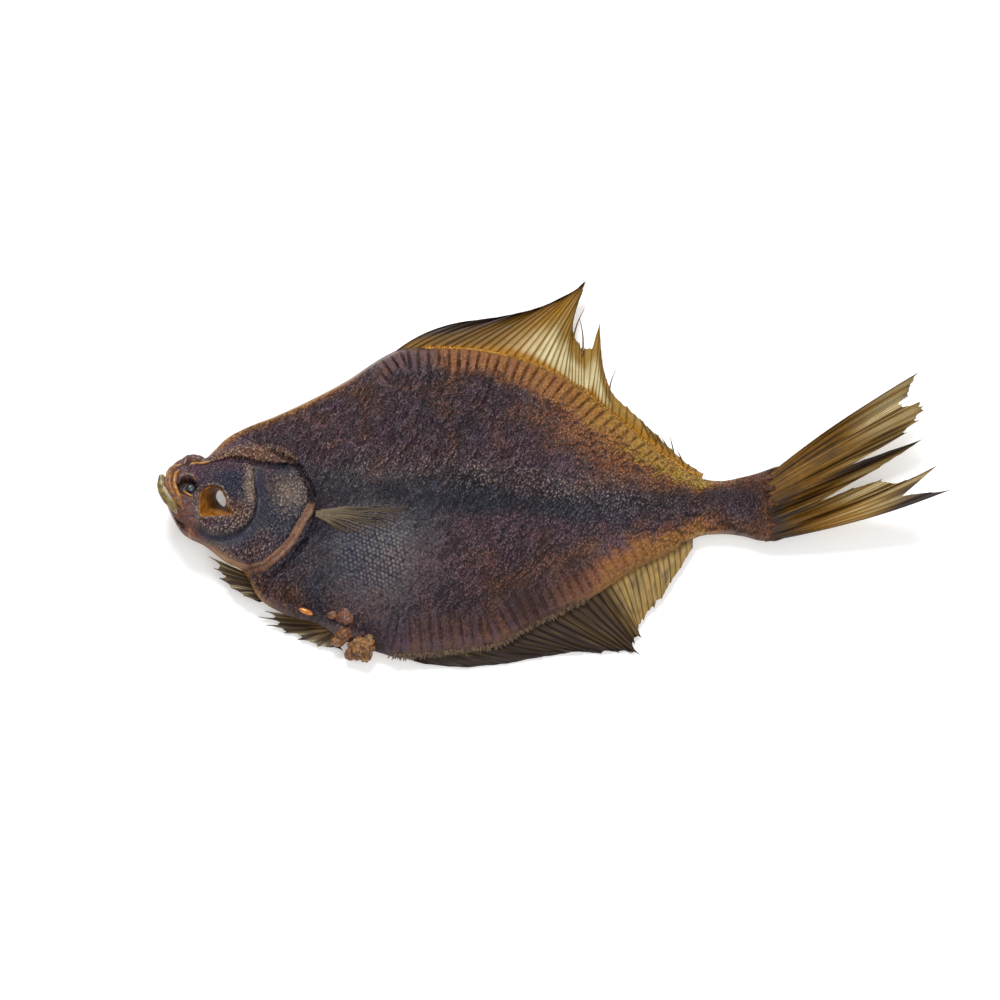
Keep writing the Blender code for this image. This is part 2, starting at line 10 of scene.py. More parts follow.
import bpy
import numpy as np
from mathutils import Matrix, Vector


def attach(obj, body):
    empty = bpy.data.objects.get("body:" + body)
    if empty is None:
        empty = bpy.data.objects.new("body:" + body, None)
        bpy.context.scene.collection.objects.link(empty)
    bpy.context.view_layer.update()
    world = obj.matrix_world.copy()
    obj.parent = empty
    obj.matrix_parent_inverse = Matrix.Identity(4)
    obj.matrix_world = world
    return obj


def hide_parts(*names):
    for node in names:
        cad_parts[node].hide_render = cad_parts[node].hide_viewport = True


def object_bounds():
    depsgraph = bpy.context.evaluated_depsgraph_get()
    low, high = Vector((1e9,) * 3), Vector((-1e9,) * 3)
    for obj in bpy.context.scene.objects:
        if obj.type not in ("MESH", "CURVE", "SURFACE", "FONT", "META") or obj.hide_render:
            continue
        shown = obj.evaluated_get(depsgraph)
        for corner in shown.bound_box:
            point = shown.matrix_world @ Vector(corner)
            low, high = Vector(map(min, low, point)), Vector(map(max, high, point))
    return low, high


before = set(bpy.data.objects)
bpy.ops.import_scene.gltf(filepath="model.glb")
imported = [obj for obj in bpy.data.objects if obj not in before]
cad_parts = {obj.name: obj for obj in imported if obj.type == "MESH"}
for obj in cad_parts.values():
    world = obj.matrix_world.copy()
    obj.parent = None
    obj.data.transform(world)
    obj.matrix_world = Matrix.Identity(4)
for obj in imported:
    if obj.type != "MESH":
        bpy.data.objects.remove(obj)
CAD_LOW, CAD_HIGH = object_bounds()

bl_info = {
    "name": "Smoked flounder",
    "version": (1, 0, 0),
    "blender": (4, 5, 0),
    "location": "View3D > Sidebar > Flounder",
    "description": "Builds the skin, fins, roe and stage of a smoked flounder",
    "category": "Object",
}

NODE = "smoked_flounder"
MM = 0.001

# The tail tip and the tip of the back fin are the farthest points of the model, so they place the frame.
TAIL_TIP_X, BACK_TIP_Y = 280.4, 80.5
ORIGIN = np.array([TAIL_TIP_X - CAD_HIGH.x / MM, BACK_TIP_Y - CAD_HIGH.y / MM, 0.0])

# Body of the fish: stations, lifts off the table, rims and thicknesses, in millimetres.
BODY_START, BODY_END = 3.0, 228.0
SHOULDER, WAIST = 55.6, 122.0  # where the pieces of eyed skin meet
MEETING, TUCK = 0.7, 0.05  # a later stretch of skin starts this far before the meeting and this far under
MARGIN_HEIGHT = 4.2
HEAD_LIFT, HEAD_LIFT_END = 12.0, 75.0
TAIL_LIFT, TAIL_LIFT_START, TAIL_LIFT_END = 16.0, 190.0, 280.0
TAIL_LIFT_POWER = 1.8
BACK_RIM = (
    (3.0, 2.0), (4.4, 5.0), (7.8, 9.2), (12.4, 10.9), (17.0, 11.0), (20.5, 14.4), (24.1, 18.7),
    (31.2, 23.7), (41.8, 28.9), (52.4, 34.6), (66.6, 42.9), (80.7, 52.7), (87.8, 55.6), (101.6, 55.8),
    (114.3, 55.0), (131.7, 50.5), (147.6, 42.2), (164.3, 27.9), (181.1, 13.6), (193.6, 5.8), (199.9, 4.9),
    (207.1, 6.3), (214.3, 8.3), (220.8, 10.7), (228.0, 14.0),
)
BELLY_RIM = (
    (3.0, -5.4), (5.0, -10.2), (8.8, -17.0), (17.3, -21.8), (24.6, -27.2), (31.5, -31.0), (35.8, -39.0),
    (43.5, -44.5), (58.4, -49.2), (66.6, -54.7), (78.9, -59.1), (86.0, -61.0), (94.2, -60.5),
    (109.7, -58.8), (121.1, -56.5), (132.8, -49.7), (151.9, -39.9), (167.1, -29.4), (182.7, -21.1),
    (193.3, -15.1), (199.9, -14.7), (207.1, -15.7), (214.3, -17.8), (228.0, -18.2),
)
EYED_HEIGHT = (
    (3.0, 2.4), (8.0, 4.6), (20.0, 7.0), (40.0, 8.8), (60.0, 9.8), (90.0, 10.4), (130.0, 8.6),
    (165.0, 6.4), (195.0, 4.8), (215.0, 2.9), (224.0, 1.3), (228.0, 0.3),
)
BLIND_DEPTH = (
    (3.0, 1.8), (8.0, 3.2), (30.0, 5.0), (60.0, 6.2), (110.0, 6.6), (160.0, 5.6), (195.0, 3.6),
    (215.0, 2.2), (228.0, 0.3),
)
RIM_THICKNESS = ((3.0, 3.2), (60.0, 3.2), (90.0, 2.4), (180.0, 2.2), (215.0, 2.6), (228.0, 1.8))
EYED_FULLNESS, BLIND_FULLNESS = 2.1, 2.6

# Lines of relief on the eyed side, each along a fold, groove or ridge of the dried skin.
GILL_EDGE = (
    (41.0, 11.0), (46.3, 7.6), (48.9, 6.3), (51.5, 2.0), (53.1, -1.5), (54.0, -4.0), (53.7, -7.0),
    (51.7, -11.1), (49.4, -15.0), (47.0, -19.7), (44.5, -23.0), (40.9, -26.2), (37.7, -28.6),
    (33.6, -29.3), (29.1, -27.7), (24.6, -25.9), (21.0, -23.5), (16.9, -20.8), (14.2, -18.7),
)
MEMBRANE_EDGE = (
    (56.7, -6.5), (55.8, -11.5), (54.5, -16.0), (51.9, -21.7), (47.2, -27.0), (43.2, -31.0), (40.6, -33.0),
)
CHEEK_GROOVE = (
    (34.8, 3.9), (35.6, -0.4), (36.2, -4.5), (36.2, -8.6), (35.4, -12.6), (33.0, -16.6), (29.8, -19.3),
    (25.1, -20.6), (19.6, -19.6), (15.6, -17.4),
)
CHEEK_RIDGE = (
    (33.0, 4.2), (33.0, 0.6), (32.9, -3.6), (33.6, -7.5), (33.0, -11.6), (30.5, -15.0), (26.4, -17.6),
    (21.9, -18.3), (17.8, -17.2), (15.2, -14.6),
)
SKULL_BAND = (
    (15.6, 6.1), (20.1, 9.1), (25.5, 10.6), (31.4, 11.6), (38.2, 12.3), (43.6, 11.8), (48.5, 8.8),
)
SKULL_EDGE = (
    (22.0, 8.2), (26.4, 9.2), (30.9, 8.8), (34.5, 7.9), (39.1, 7.0), (42.7, 6.7), (46.3, 6.8),
    (49.9, 7.6),
)
LOW_GRANULES = (
    (15.6, -18.7), (19.2, -21.5), (23.7, -24.3), (29.1, -26.2), (33.6, -26.4), (38.2, -24.9),
)
GILL_FOLD = ((58.3, -15.3), (54.4, -18.9), (50.8, -21.6), (46.7, -25.0))
CHEST_GROOVES = (
    ((44.5, -31.2), (44.2, -35.2), (44.9, -38.3), (45.4, -42.1)),
    ((39.5, -31.8), (37.8, -34.8), (38.6, -38.4)),
)
CHEST_EDGE = ((29.5, -29.4), (30.9, -30.6), (32.3, -32.9), (33.6, -35.8), (36.4, -39.4), (40.5, -42.4))
BELLY_FOLD = (
    (88.0, -3.0), (94.0, -11.0), (96.8, -20.0), (97.3, -28.2), (94.9, -42.5), (88.9, -51.1),
    (81.8, -59.0),
)
LATERAL_LINE = (
    (50.0, 1.3), (64.8, 3.7), (78.9, 5.2), (103.7, 5.4), (121.4, 2.7), (139.1, -1.5), (163.9, -3.5),
    (192.2, -4.9), (224.0, -5.6),
)
BACK_CREASES = (
    ((101.5, 51.0), (102.6, 45.0), (101.8, 39.0), (99.6, 33.0)),
    ((96.8, 47.0), (97.0, 41.5), (94.8, 35.0)),
    ((107.0, 49.0), (106.4, 43.0), (107.2, 37.0)),
    ((119.5, 46.5), (118.0, 38.0), (115.0, 29.0)),
)
RIB_START, RIB_END = 74.0, 184.0

# The eyes: the lower one shrunk in its socket, the upper socket empty and open right through the head.
LOW_EYE, LOW_EYE_SIZE, LOW_EYE_DEPTH = (10.9, -2.3), (4.1, 3.2), 2.2
EYEBALL, EYEBALL_SIZE = (12.3, -3.0), 1.75
HIGH_SOCKET = (
    (15.4, -4.2), (18.3, -2.3), (20.6, -2.0), (23.3, -3.1), (25.1, -7.2), (25.7, -9.8), (27.4, -12.5),
    (24.2, -13.2), (20.1, -13.6), (15.8, -13.6), (15.3, -10.8), (15.4, -7.9),
)
HIGH_SLIT = (
    (20.9, -0.2), (21.4, 1.4), (22.4, 2.3), (23.5, 1.2), (24.3, -0.8), (24.5, -2.8), (24.4, -4.4),
    (23.6, -4.9), (22.8, -4.2), (22.0, -3.4), (21.3, -2.4), (20.9, -1.4),
)

# Each row: x of the root on the rim, x and y of the tip, the share of the ray that the web keeps up to
# the next ray, and how far the ray bows, as a share of its length.
BACK_TIPS = (
    (79.0, 116.0, 66.3, 1.0, 0.20), (88.0, 129.0, 68.5, 1.0, 0.12), (96.0, 137.5, 70.9, 1.0, 0.08),
    (103.5, 143.4, 73.6, 1.0, 0.06), (111.0, 147.2, 76.2, 1.0, 0.05), (118.0, 150.0, 78.4, 1.0, 0.04),
    (124.5, 151.6, 79.8, 1.0, 0.03), (130.5, 152.5, 80.5, 0.99, 0.02), (135.5, 151.4, 77.2, 0.98, 0.02),
    (140.0, 149.4, 71.6, 0.98, 0.02), (144.0, 147.6, 65.6, 0.96, 0.0), (147.0, 147.4, 61.2, 0.95, 0.0),
    (149.2, 149.7, 56.6, 0.95, 0.0), (151.2, 151.4, 54.6, 0.78, 0.0), (153.5, 157.0, 65.2, 0.95, -0.04),
    (156.0, 157.8, 50.4, 0.96, 0.0), (158.6, 159.4, 43.2, 0.96, 0.0), (161.0, 161.6, 37.8, 0.97, 0.0),
    (166.0, 166.6, 33.2, 0.97, 0.0), (171.0, 172.2, 27.4, 0.96, 0.0), (175.5, 177.6, 22.0, 0.97, 0.0),
    (180.5, 182.2, 17.4, 0.97, 0.0), (187.0, 188.4, 11.4, 0.97, 0.0), (192.0, 193.6, 8.0, 0.97, 0.0),
)
# Loose spines behind the back fin: x and y of the root and the tip, and how far each bends to the left.
SPINES = (
    (147.5, 58.0, 151.4, 69.6, 1.2), (150.6, 52.0, 149.6, 66.1, -1.6), (160.2, 35.8, 162.9, 47.0, 1.6),
    (174.4, 21.8, 171.0, 28.4, -0.3), (176.4, 20.6, 173.6, 25.6, -0.2), (179.2, 17.6, 176.6, 22.8, -0.2),
    (181.2, 16.4, 178.6, 21.4, -0.2), (183.2, 13.8, 181.6, 21.6, -0.3), (186.4, 11.4, 184.2, 16.4, -0.2),
)
BELLY_TIPS = (
    (84.0, 95.0, -62.6, 1.0, 0.06), (94.0, 110.0, -63.4, 1.0, 0.06), (103.0, 124.0, -61.9, 1.0, 0.06),
    (112.0, 136.0, -59.6, 1.0, 0.05), (119.0, 144.0, -58.2, 1.0, 0.05), (125.0, 150.6, -57.8, 0.98, 0.04),
    (131.0, 157.2, -58.2, 0.97, 0.04), (137.0, 163.6, -57.8, 0.96, 0.03), (143.0, 168.0, -58.2, 0.97, 0.02),
    (149.5, 170.8, -59.0, 0.92, 0.02), (155.0, 169.2, -54.8, 0.95, 0.0), (159.5, 171.4, -52.8, 0.93, 0.0),
    (164.0, 170.4, -49.4, 0.96, -0.02), (168.5, 172.2, -46.4, 0.94, -0.03), (172.5, 176.0, -41.8, 0.94, -0.03),
    (176.5, 178.6, -38.6, 0.95, -0.03), (180.5, 181.8, -32.8, 0.95, -0.03), (185.0, 185.4, -27.0, 0.95, 0.0),
    (189.5, 189.6, -19.4, 0.95, 0.0),
)
TAIL_TIPS = (
    (269.7, 41.4, 1.0), (267.2, 37.3, 1.0), (266.0, 32.9, 0.93), (270.2, 30.3, 1.0), (271.6, 27.4, 0.97),
    (270.0, 23.6, 0.96), (265.4, 19.6, 0.6), (270.5, 15.9, 1.0), (263.4, 11.6, 0.99), (255.8, 7.0, 0.98),
    (247.0, 2.6, 0.62), (246.4, 0.3, 0.99), (256.4, 2.4, 0.96), (264.8, 1.6, 0.98), (275.4, 5.4, 0.78),
    (280.4, -3.9, 1.0),
)
TAIL_ROOT_X, TAIL_ROOT_TOP, TAIL_ROOT_BOTTOM = 215.0, 5.6, -18.0
TAIL_SKIN_END, TAIL_SKIN_SINK = 223.0, 216.0
TAIL_TUCK = 0.5  # how far the end of the skin sinks under the root of the tail fin
NOTCH = 0.8  # a web kept less than this is torn down to a narrow notch
PECTORAL_ROOT, PECTORAL_RAYS = (56.4, -10.2), 17
PECTORAL_REACH = ((0.0, 32.5), (0.2, 30.5), (0.45, 27.0), (0.62, 24.0), (0.8, 17.0), (1.0, 9.0))
PECTORAL_TURN = ((0.0, 0.20), (0.35, 0.06), (0.62, -0.10), (0.8, -0.30), (1.0, -0.50))
PELVIC_ROOT, PELVIC_SPREAD, PELVIC_HEIGHTS = (63.0, -50.0), 4.0, (3.4, 1.6)
PELVIC_TIPS = (
    (38.6, -42.6, 0.86), (36.0, -44.8, 0.8), (38.8, -47.8, 0.9), (45.0, -50.6, 0.84), (50.0, -53.4, 0.9),
    (57.0, -56.0, 0.9), (66.0, -57.6, 0.9),
)
BLIND_FIN_ROOT, BLIND_FIN_SPREAD, BLIND_FIN_HEIGHTS = (39.5, -36.5), 6.0, (5.4, 5.9)
BLIND_FIN_TIPS = (
    (18.6, -23.8, 0.9), (20.4, -28.0, 0.88), (22.2, -31.8, 0.95), (26.4, -35.4, 0.97), (31.0, -38.6, 0.97),
    (36.5, -41.0, 1.0),
)
BACK_TIP_HEIGHTS = ((79.0, 4.6), (120.0, 6.4), (136.0, 8.0), (150.0, 6.6), (188.0, 4.6))
BELLY_TIP_HEIGHTS = ((84.0, 1.6), (120.0, 1.2), (140.0, 1.2), (165.0, 2.2), (188.0, 3.6))
FIN_ROOT_DEPTH = 2.4

# The jaw blade: x, y, height over the rim, half width and half height, from the tip back.
JAW = (
    (1.9, 2.6, 2.2, 0.9, 0.6), (2.1, 0.6, 2.2, 1.9, 0.9), (2.6, -2.0, 2.4, 2.4, 1.3), (4.2, -5.4, 2.6, 2.4, 1.6),
    (6.3, -8.8, 2.4, 1.8, 1.7), (7.8, -12.0, 1.4, 0.6, 1.0),
)
# Folds of the lips and lids that lie on the skin: x and y along each, its half width and its warmth.
FACE_FOLDS = (
    (((9.0, 6.4), (6.4, 5.2), (5.0, 2.8), (4.8, -0.8), (6.0, -4.8), (8.0, -8.0), (10.0, -11.0)), 1.2, 0.5),
    (((8.2, 4.2), (6.9, 2.0), (6.6, -1.2), (7.7, -5.0), (9.4, -8.6)), 0.8, 0.75),
    (((7.2, 6.7), (5.0, 5.2), (4.0, 2.2), (3.9, -1.0), (4.8, -4.6)), 0.6, 0.75),
    (((7.9, -1.2), (8.7, 1.1), (10.7, 2.0), (13.0, 1.3), (14.8, -1.0)), 0.95, 0.1),
    (((9.6, -4.0), (11.3, -5.3), (13.2, -6.3)), 0.42, 0.9),
    (((9.8, 6.2), (10.6, 8.4), (13.0, 9.4), (15.6, 8.9), (17.8, 7.4)), 1.6, 0.3),
    (((11.2, 8.4), (13.6, 8.8), (16.0, 8.2)), 0.9, 0.6),
    (((11.8, 6.4), (13.6, 7.2), (16.2, 7.4), (19.4, 8.2)), 0.5, 0.85),
)
# Lumps of roe at the vent: centre, half sizes and warmth.
ROE = (
    ((66.8, -47.1, 8.0), (4.4, 3.3, 2.4), 0.1), ((66.9, -52.5, 5.6), (3.3, 2.8, 2.6), 0.45),
    ((73.2, -56.4, 4.6), (4.3, 5.2, 3.8), 0.9), ((64.6, -55.2, 4.4), (2.9, 2.0, 1.7), 0.65),
    ((69.8, -59.2, 3.4), (3.2, 2.4, 2.4), 0.5), ((62.6, -46.6, 8.6), (1.8, 1.4, 1.2), 0.3),
)

PHOTO_PIXEL = 0.354  # millimetres that one pixel of the picture covers at the rim's height
PICTURE_WIDTH = 1000
PICTURE_MIDDLE = (121.42, -1.88, 4.2)  # the point of the working frame at the middle of the picture


def linear(hex_colour):
    """Linear red, green and blue of an sRGB hex colour."""
    parts = [int(hex_colour[i:i + 2], 16) / 255 for i in (1, 3, 5)]
    return tuple(p / 12.92 if p <= 0.04045 else ((p + 0.055) / 1.055) ** 2.4 for p in parts)


def colour(name, description, hex_colour):
    """A colour setting with an sRGB hex default."""
    return bpy.props.FloatVectorProperty(
        name=name, description=description, default=linear(hex_colour), subtype="COLOR", size=3, min=0, max=1)


def length(name, description, millimetres):
    """A length setting in metres whose default is given in millimetres."""
    return bpy.props.FloatProperty(
        name=name, description=description, default=millimetres * MM, min=0.0, unit="LENGTH",
        subtype="DISTANCE", precision=5)


class SkinSettings(bpy.types.PropertyGroup):
    granule_pitch: length("Granule pitch", "Distance between the rough grains of the skin", 1.55)
    granule_height: length("Granule height", "How far the grains stand out", 0.36)
    rib_pitch: length("Rib pitch", "Distance between the fin supports under the skin", 3.7)
    rib_height: length("Rib height", "How far the fin supports stand out", 0.5)
    rib_band: length("Rib band", "Length of the fin supports from the rim inwards", 13.5)
    wrinkle_height: length("Wrinkle height", "Depth of the wrinkles of the dried skin", 0.5)
    gill_step: length("Gill step", "How far the gill cover stands over the skin behind it", 1.6)
    purple: colour("Purple brown", "Skin of the back and belly", "#4b2f3f")
    brown: colour("Brown", "Skin over the back muscle", "#613826")
    rust: colour("Rust", "Skin near the fins", "#7d4829")
    amber: colour("Amber", "Smoked gold over the fin supports", "#8f5c1c")
    gold: colour("Gold", "Yellow gold near the tail", "#a07a1c")
    slate: colour("Slate", "Bluish belly and gill cover", "#1d2036")
    # Pale grain tips: partly the grains' own pale horn, partly painted highlight on their domes.
    pale_grain_and_highlight: colour("Grains", "Pale tips of the grains", "#b0a48e")
    blind: colour("Blind side", "Paler skin underneath", "#8a6a3e")


class FinSettings(bpy.types.PropertyGroup):
    ray_width: length("Ray width", "Half width of a fin ray", 0.34)
    ray_height: length("Ray height", "Half thickness of a fin ray at its root", 0.62)
    web_thickness: length("Web thickness", "Thickness of the dried web between two rays", 0.28)
    sag: length("Web sag", "How far the web sinks between two rays", 0.35)
    olive: colour("Olive", "Web of the fins", "#86691f")
    cream: colour("Cream", "Thin pale web that the light comes through", "#d3c79c")
    ray: colour("Ray", "Golden brown fin rays", "#5d3f14")
    dusky: colour("Dusky web", "Grey brown web of the small fins", "#64554a")
    smoke: colour("Smoke", "Blackened tips and folded front rays", "#2a1d18")


class HeadSettings(bpy.types.PropertyGroup):
    lining_thickness: length("Socket lining", "Thickness of the dried lining of the empty socket", 0.45)
    lip: colour("Lip", "Folded orange lips", "#8c5a20")
    lid: colour("Lid", "Dark lid of the shrunk eye", "#35222a")
    jaw: colour("Jaw", "Olive horn of the jaw blade", "#86703c")
    lining: colour("Lining", "Amber lining of the empty socket", "#7a430f")
    eye: colour("Eye", "Glossy shrunk eyeball", "#14161b")


class RoeSettings(bpy.types.PropertyGroup):
    crust: length("Crust", "How far the crust of the roe stands in and out", 1.1)
    red: colour("Red roe", "Reddish brown crust", "#713b22")
    gold: colour("Golden roe", "Golden brown crust", "#9a6a2c")
    drop: colour("Drop", "Clear orange drop of fat", "#b4610c")


class StageSettings(bpy.types.PropertyGroup):
    floor: colour("Floor", "Pale studio floor", "#f4f4f4")
    floor_size: length("Floor size", "Width of the floor", 4000)
    glow: bpy.props.FloatProperty(name="Floor glow", description="Light that the floor gives by itself",
                                  default=0.28, min=0)
    elevation: bpy.props.FloatProperty(
        name="Elevation", description="Camera angle over the table", default=math.radians(70),
        subtype="ANGLE", unit="ROTATION")
    distance: length("Camera distance", "From the camera to the fish", 4000)
    key: bpy.props.FloatProperty(name="Key light", description="Power of the soft key light in watts",
                                 default=13.0, min=0)
    sky: bpy.props.FloatProperty(name="Sky", description="Strength of the even studio light",
                                 default=0.5, min=0)


def through(knots, at):
    """A smooth line through (x, y) knots, read at each x: cubic pieces whose slopes never overshoot."""
    x, y = np.array(knots, float).T
    step = np.diff(y) / np.diff(x)
    slope = np.concatenate([[step[0]], (step[1:] + step[:-1]) / 2, [step[-1]]])
    turns = np.concatenate([[False], step[1:] * step[:-1] <= 0, [False]])
    limit = 3 * np.minimum(np.abs(np.append(step, step[-1])), np.abs(np.insert(step, 0, step[0])))
    slope = np.where(turns, 0.0, np.clip(slope, -limit, limit))
    i = np.clip(np.searchsorted(x, at) - 1, 0, len(x) - 2)
    h = x[i + 1] - x[i]
    t = np.clip((at - x[i]) / h, 0, 1)
    return (
        (1 + 2 * t) * (1 - t) ** 2 * y[i]
        + t * (1 - t) ** 2 * h * slope[i]
        + t**2 * (3 - 2 * t) * y[i + 1]
        + t**2 * (t - 1) * h * slope[i + 1]
    )


def rise(value, low, high):
    """0 below low, 1 above high and a smooth step between them."""
    t = np.clip((value - low) / (high - low), 0, 1)
    return t * t * (3 - 2 * t)


def ridge(distance, half_width):
    """A bell curve: 1 on the line and falling off over its half width."""
    return np.exp(-((distance / half_width) ** 2))


def lift(x):
    """How far the dried fish bends up off the table at station x: a power curve at each end."""
    head = np.clip((HEAD_LIFT_END - x) / HEAD_LIFT_END, 0, 1.1) ** 2
    tail = np.clip((x - TAIL_LIFT_START) / (TAIL_LIFT_END - TAIL_LIFT_START), 0, 1.1) ** TAIL_LIFT_POWER
    return HEAD_LIFT * head + TAIL_LIFT * tail


def to_line(x, y, line):
    """How far each point is from a polyline, positive on the left of its way, and how far along it.

    At a corner the side is judged by the sum of the two normals that meet there.
    """
    line = np.array(line, float)
    way = np.diff(line, axis=0)
    span = np.hypot(*way.T)
    left = np.stack([-way[:, 1], way[:, 0]], axis=-1) / span[:, None]
    ends = (left[-1] + left[0])[None] if np.allclose(line[0], line[-1]) else None
    corner = np.concatenate([left[:1] if ends is None else ends, left[1:] + left[:-1],
                             left[-1:] if ends is None else ends])
    best = np.full(np.shape(x), 1e9)
    side, along = np.zeros(np.shape(x)), np.zeros(np.shape(x))
    travelled = 0.0
    for k, (ux, uy) in enumerate(way):
        dx, dy = x - line[k, 0], y - line[k, 1]
        t = np.clip((dx * ux + dy * uy) / span[k] ** 2, 0, 1)
        dx, dy = dx - t * ux, dy - t * uy
        away = np.hypot(dx, dy)
        nx, ny = (np.where(t <= 0, corner[k, c], np.where(t >= 1, corner[k + 1, c], left[k, c])) for c in (0, 1))
        nearer = away < best
        best = np.where(nearer, away, best)
        side = np.where(nearer, np.sign(dx * nx + dy * ny), side)
        along = np.where(nearer, travelled + t * span[k], along)
        travelled += span[k]
    return best * side, along


def within(x, y, outline):
    """How far each point is inside a closed outline that runs clockwise, negative outside it."""
    return -to_line(x, y, tuple(outline) + (outline[0],))[0]


def scatter(places, seed):
    """A repeatable share from 0 to 1 for whole-number places: large primes mixed bit by bit."""
    mixed = np.int64(seed * 7919 + 17)
    for place, prime in zip(places, (73856093, 19349663, 83492791)):
        mixed = mixed ^ (np.asarray(place).astype(np.int64) * prime)
    mixed = (mixed ^ (mixed >> 13)) & 0x7FFFFFFF
    mixed = (mixed * ((mixed * mixed * 15731 + 789221) & 0x7FFFFFFF) + 1376312589) & 0x7FFFFFFF
    return mixed / 0x7FFFFFFF


def noise(*at, seed=0):
    """Smooth noise from -1 to 1: the shares of a unit lattice's corners blended by an S-curve."""
    cell = [np.floor(c) for c in at]
    step = [rise(c - f, 0, 1) for c, f in zip(at, cell)]
    total = 0.0
    for corner in np.ndindex(*(2,) * len(at)):
        weight = 1.0
        for s, c in zip(step, corner):
            weight = weight * (s if c else 1 - s)
        total = total + weight * scatter([f + c for f, c in zip(cell, corner)], seed)
    return 2 * total - 1


def cloudy(x, y, size, octaves=3, seed=0):
    """Noise added to turned copies of itself at half the size and strength each time."""
    total, strength = 0.0, 1.0
    for octave in range(octaves):
        turn = 0.65 * octave + 0.3
        u = (x * math.cos(turn) - y * math.sin(turn)) / size
        v = (x * math.sin(turn) + y * math.cos(turn)) / size
        total = total + strength * noise(u, v, seed=seed + octave)
        size, strength = size / 2.1, strength / 2
    return total


def streaks(x, y, turn, long, short, seed=0):
    """Noise drawn out along one direction, turn in radians from X, sized long by short."""
    u = (x * np.cos(turn) + y * np.sin(turn)) / long
    v = (-x * np.sin(turn) + y * np.cos(turn)) / short
    return noise(u, v, seed=seed)


def grains(x, y, pitch, jitter, seed=0):
    """Grains on a diagonal lattice, each moved at random.

    Gives the distance to the nearest grain in pitches, and a share from 0 to 1 that belongs to it.
    """
    squeeze = math.sqrt(3) / 2
    u, v = x / pitch, y / (pitch * squeeze)
    best, own = np.full(np.shape(x), 9.0), np.zeros(np.shape(x))
    for dy in (-1, 0, 1):
        row = np.floor(v) + dy
        offset = 0.5 * np.mod(row, 2)
        for dx in (-1, 0, 1):
            column = np.floor(u - offset) + dx
            gx = column + 0.5 + offset + jitter * (scatter([column, row], seed) - 0.5)
            gy = row + 0.5 + jitter * (scatter([column, row], seed + 1) - 0.5)
            away = np.hypot(u - gx, (v - gy) * squeeze)
            nearer = away < best
            best = np.where(nearer, away, best)
            own = np.where(nearer, scatter([column, row], seed + 2), own)
    return best, own


def spots(x, y, rows):
    """Soft oval spots added up. Each row: centre x and y, half sizes, turn in degrees and strength."""
    total = np.zeros(np.shape(x))
    for cx, cy, wide, high, turn, strength in rows:
        c, s = math.cos(math.radians(turn)), math.sin(math.radians(turn))
        u, v = ((x - cx) * c + (y - cy) * s) / wide, ((y - cy) * c - (x - cx) * s) / high
        total = total + strength * np.exp(-(u * u + v * v))
    return total


def rim_line(rim):
    """The part of a rim that carries fin supports, as a polyline."""
    return [(a, float(through(rim, a))) for a in np.arange(RIB_START, RIB_END + 12, 4.0)]


def smooth_eyed(x, y):
    """Height of the eyed side without its relief: the rim's height plus a crown that falls to the rims."""
    back, belly = through(BACK_RIM, x), through(BELLY_RIM, x)
    across = np.abs(np.clip((2 * y - back - belly) / (back - belly), -1, 1))
    crown = (1 - across**EYED_FULLNESS) ** 0.72
    height = MARGIN_HEIGHT + lift(x) + through(RIM_THICKNESS, x) / 2 * rise(1 - across, 0.0, 0.05)
    return height + through(EYED_HEIGHT, x) * crown


# Colour spots of the eyed side: centre, half sizes, turn and strength.
SLATE_SPOTS = (
    (72, -24, 24, 24, 20, 1.1), (56, -40, 8, 8, 0, 0.5), (84, -50, 8, 10, 0, 0.5), (104, -3, 26, 8, 0, 1.0),
    (140, -8, 26, 5.5, -6, 1.0), (80, -8, 14, 9, 0, 0.6), (44, -12, 9, 15, 0, 0.8), (26, -2, 8, 8, 0, 0.6),
    (62, 4, 12, 10, 0, 0.35), (88, 40, 10, 12, 60, 0.35), (110, 26, 10, 12, 60, 0.3),
    (170, -6, 20, 4, -6, 0.65), (30, -20, 10, 4, 25, 0.5), (27, 1, 7, 5, 0, 0.6), (44, 7, 5, 4, 0, 0.7),
)
WARM_SPOTS = (
    (96, 36, 7, 8, 0, 0.24), (104, 42, 5, 6, 0, 0.3), (112, 28, 14, 8, 0, 0.14), (152, 19, 18, 8, -28, 0.26),
    (160, 14, 20, 8, -35, 0.42), (118, -38, 16, 7, 25, 0.14), (146, -24, 22, 7, 25, 0.18), (50, -38, 8, 6, 0, 0.22),
    (186, 2, 12, 5, -10, 0.3), (205, 4, 14, 3, 5, 0.4), (205, -13, 16, 3, -5, 0.3), (222, -4, 9, 16, 0, 0.62),
    (36, -35, 4, 5, 0, 0.3), (47, 10, 3, 3, 0, 0.3), (70, 34, 14, 5, 30, 0.12),
)
DARK_SPOTS = (
    (131, -42, 9, 9, 30, 0.8), (146, -32, 8, 5, 30, 0.5), (200, -3, 26, 5, 0, 0.7), (214, -13, 6, 4, 0, 0.5),
    (214, 3, 9, 3, 0, 0.5), (57, -5, 3, 8, 10, 0.9), (58, -17, 5, 5, 40, 0.5), (76, -58, 5, 6, 60, 0.8),
    (104, -50, 26, 8, 8, 0.45), (48, -44, 9, 3, 0, 0.5), (82, -3, 5, 4, 0, 0.5), (57, -47, 7, 3, -10, 0.6),
    (110, -6, 30, 3.5, -3, 0.4), (64, -8, 6, 8, 0, 0.4),
)
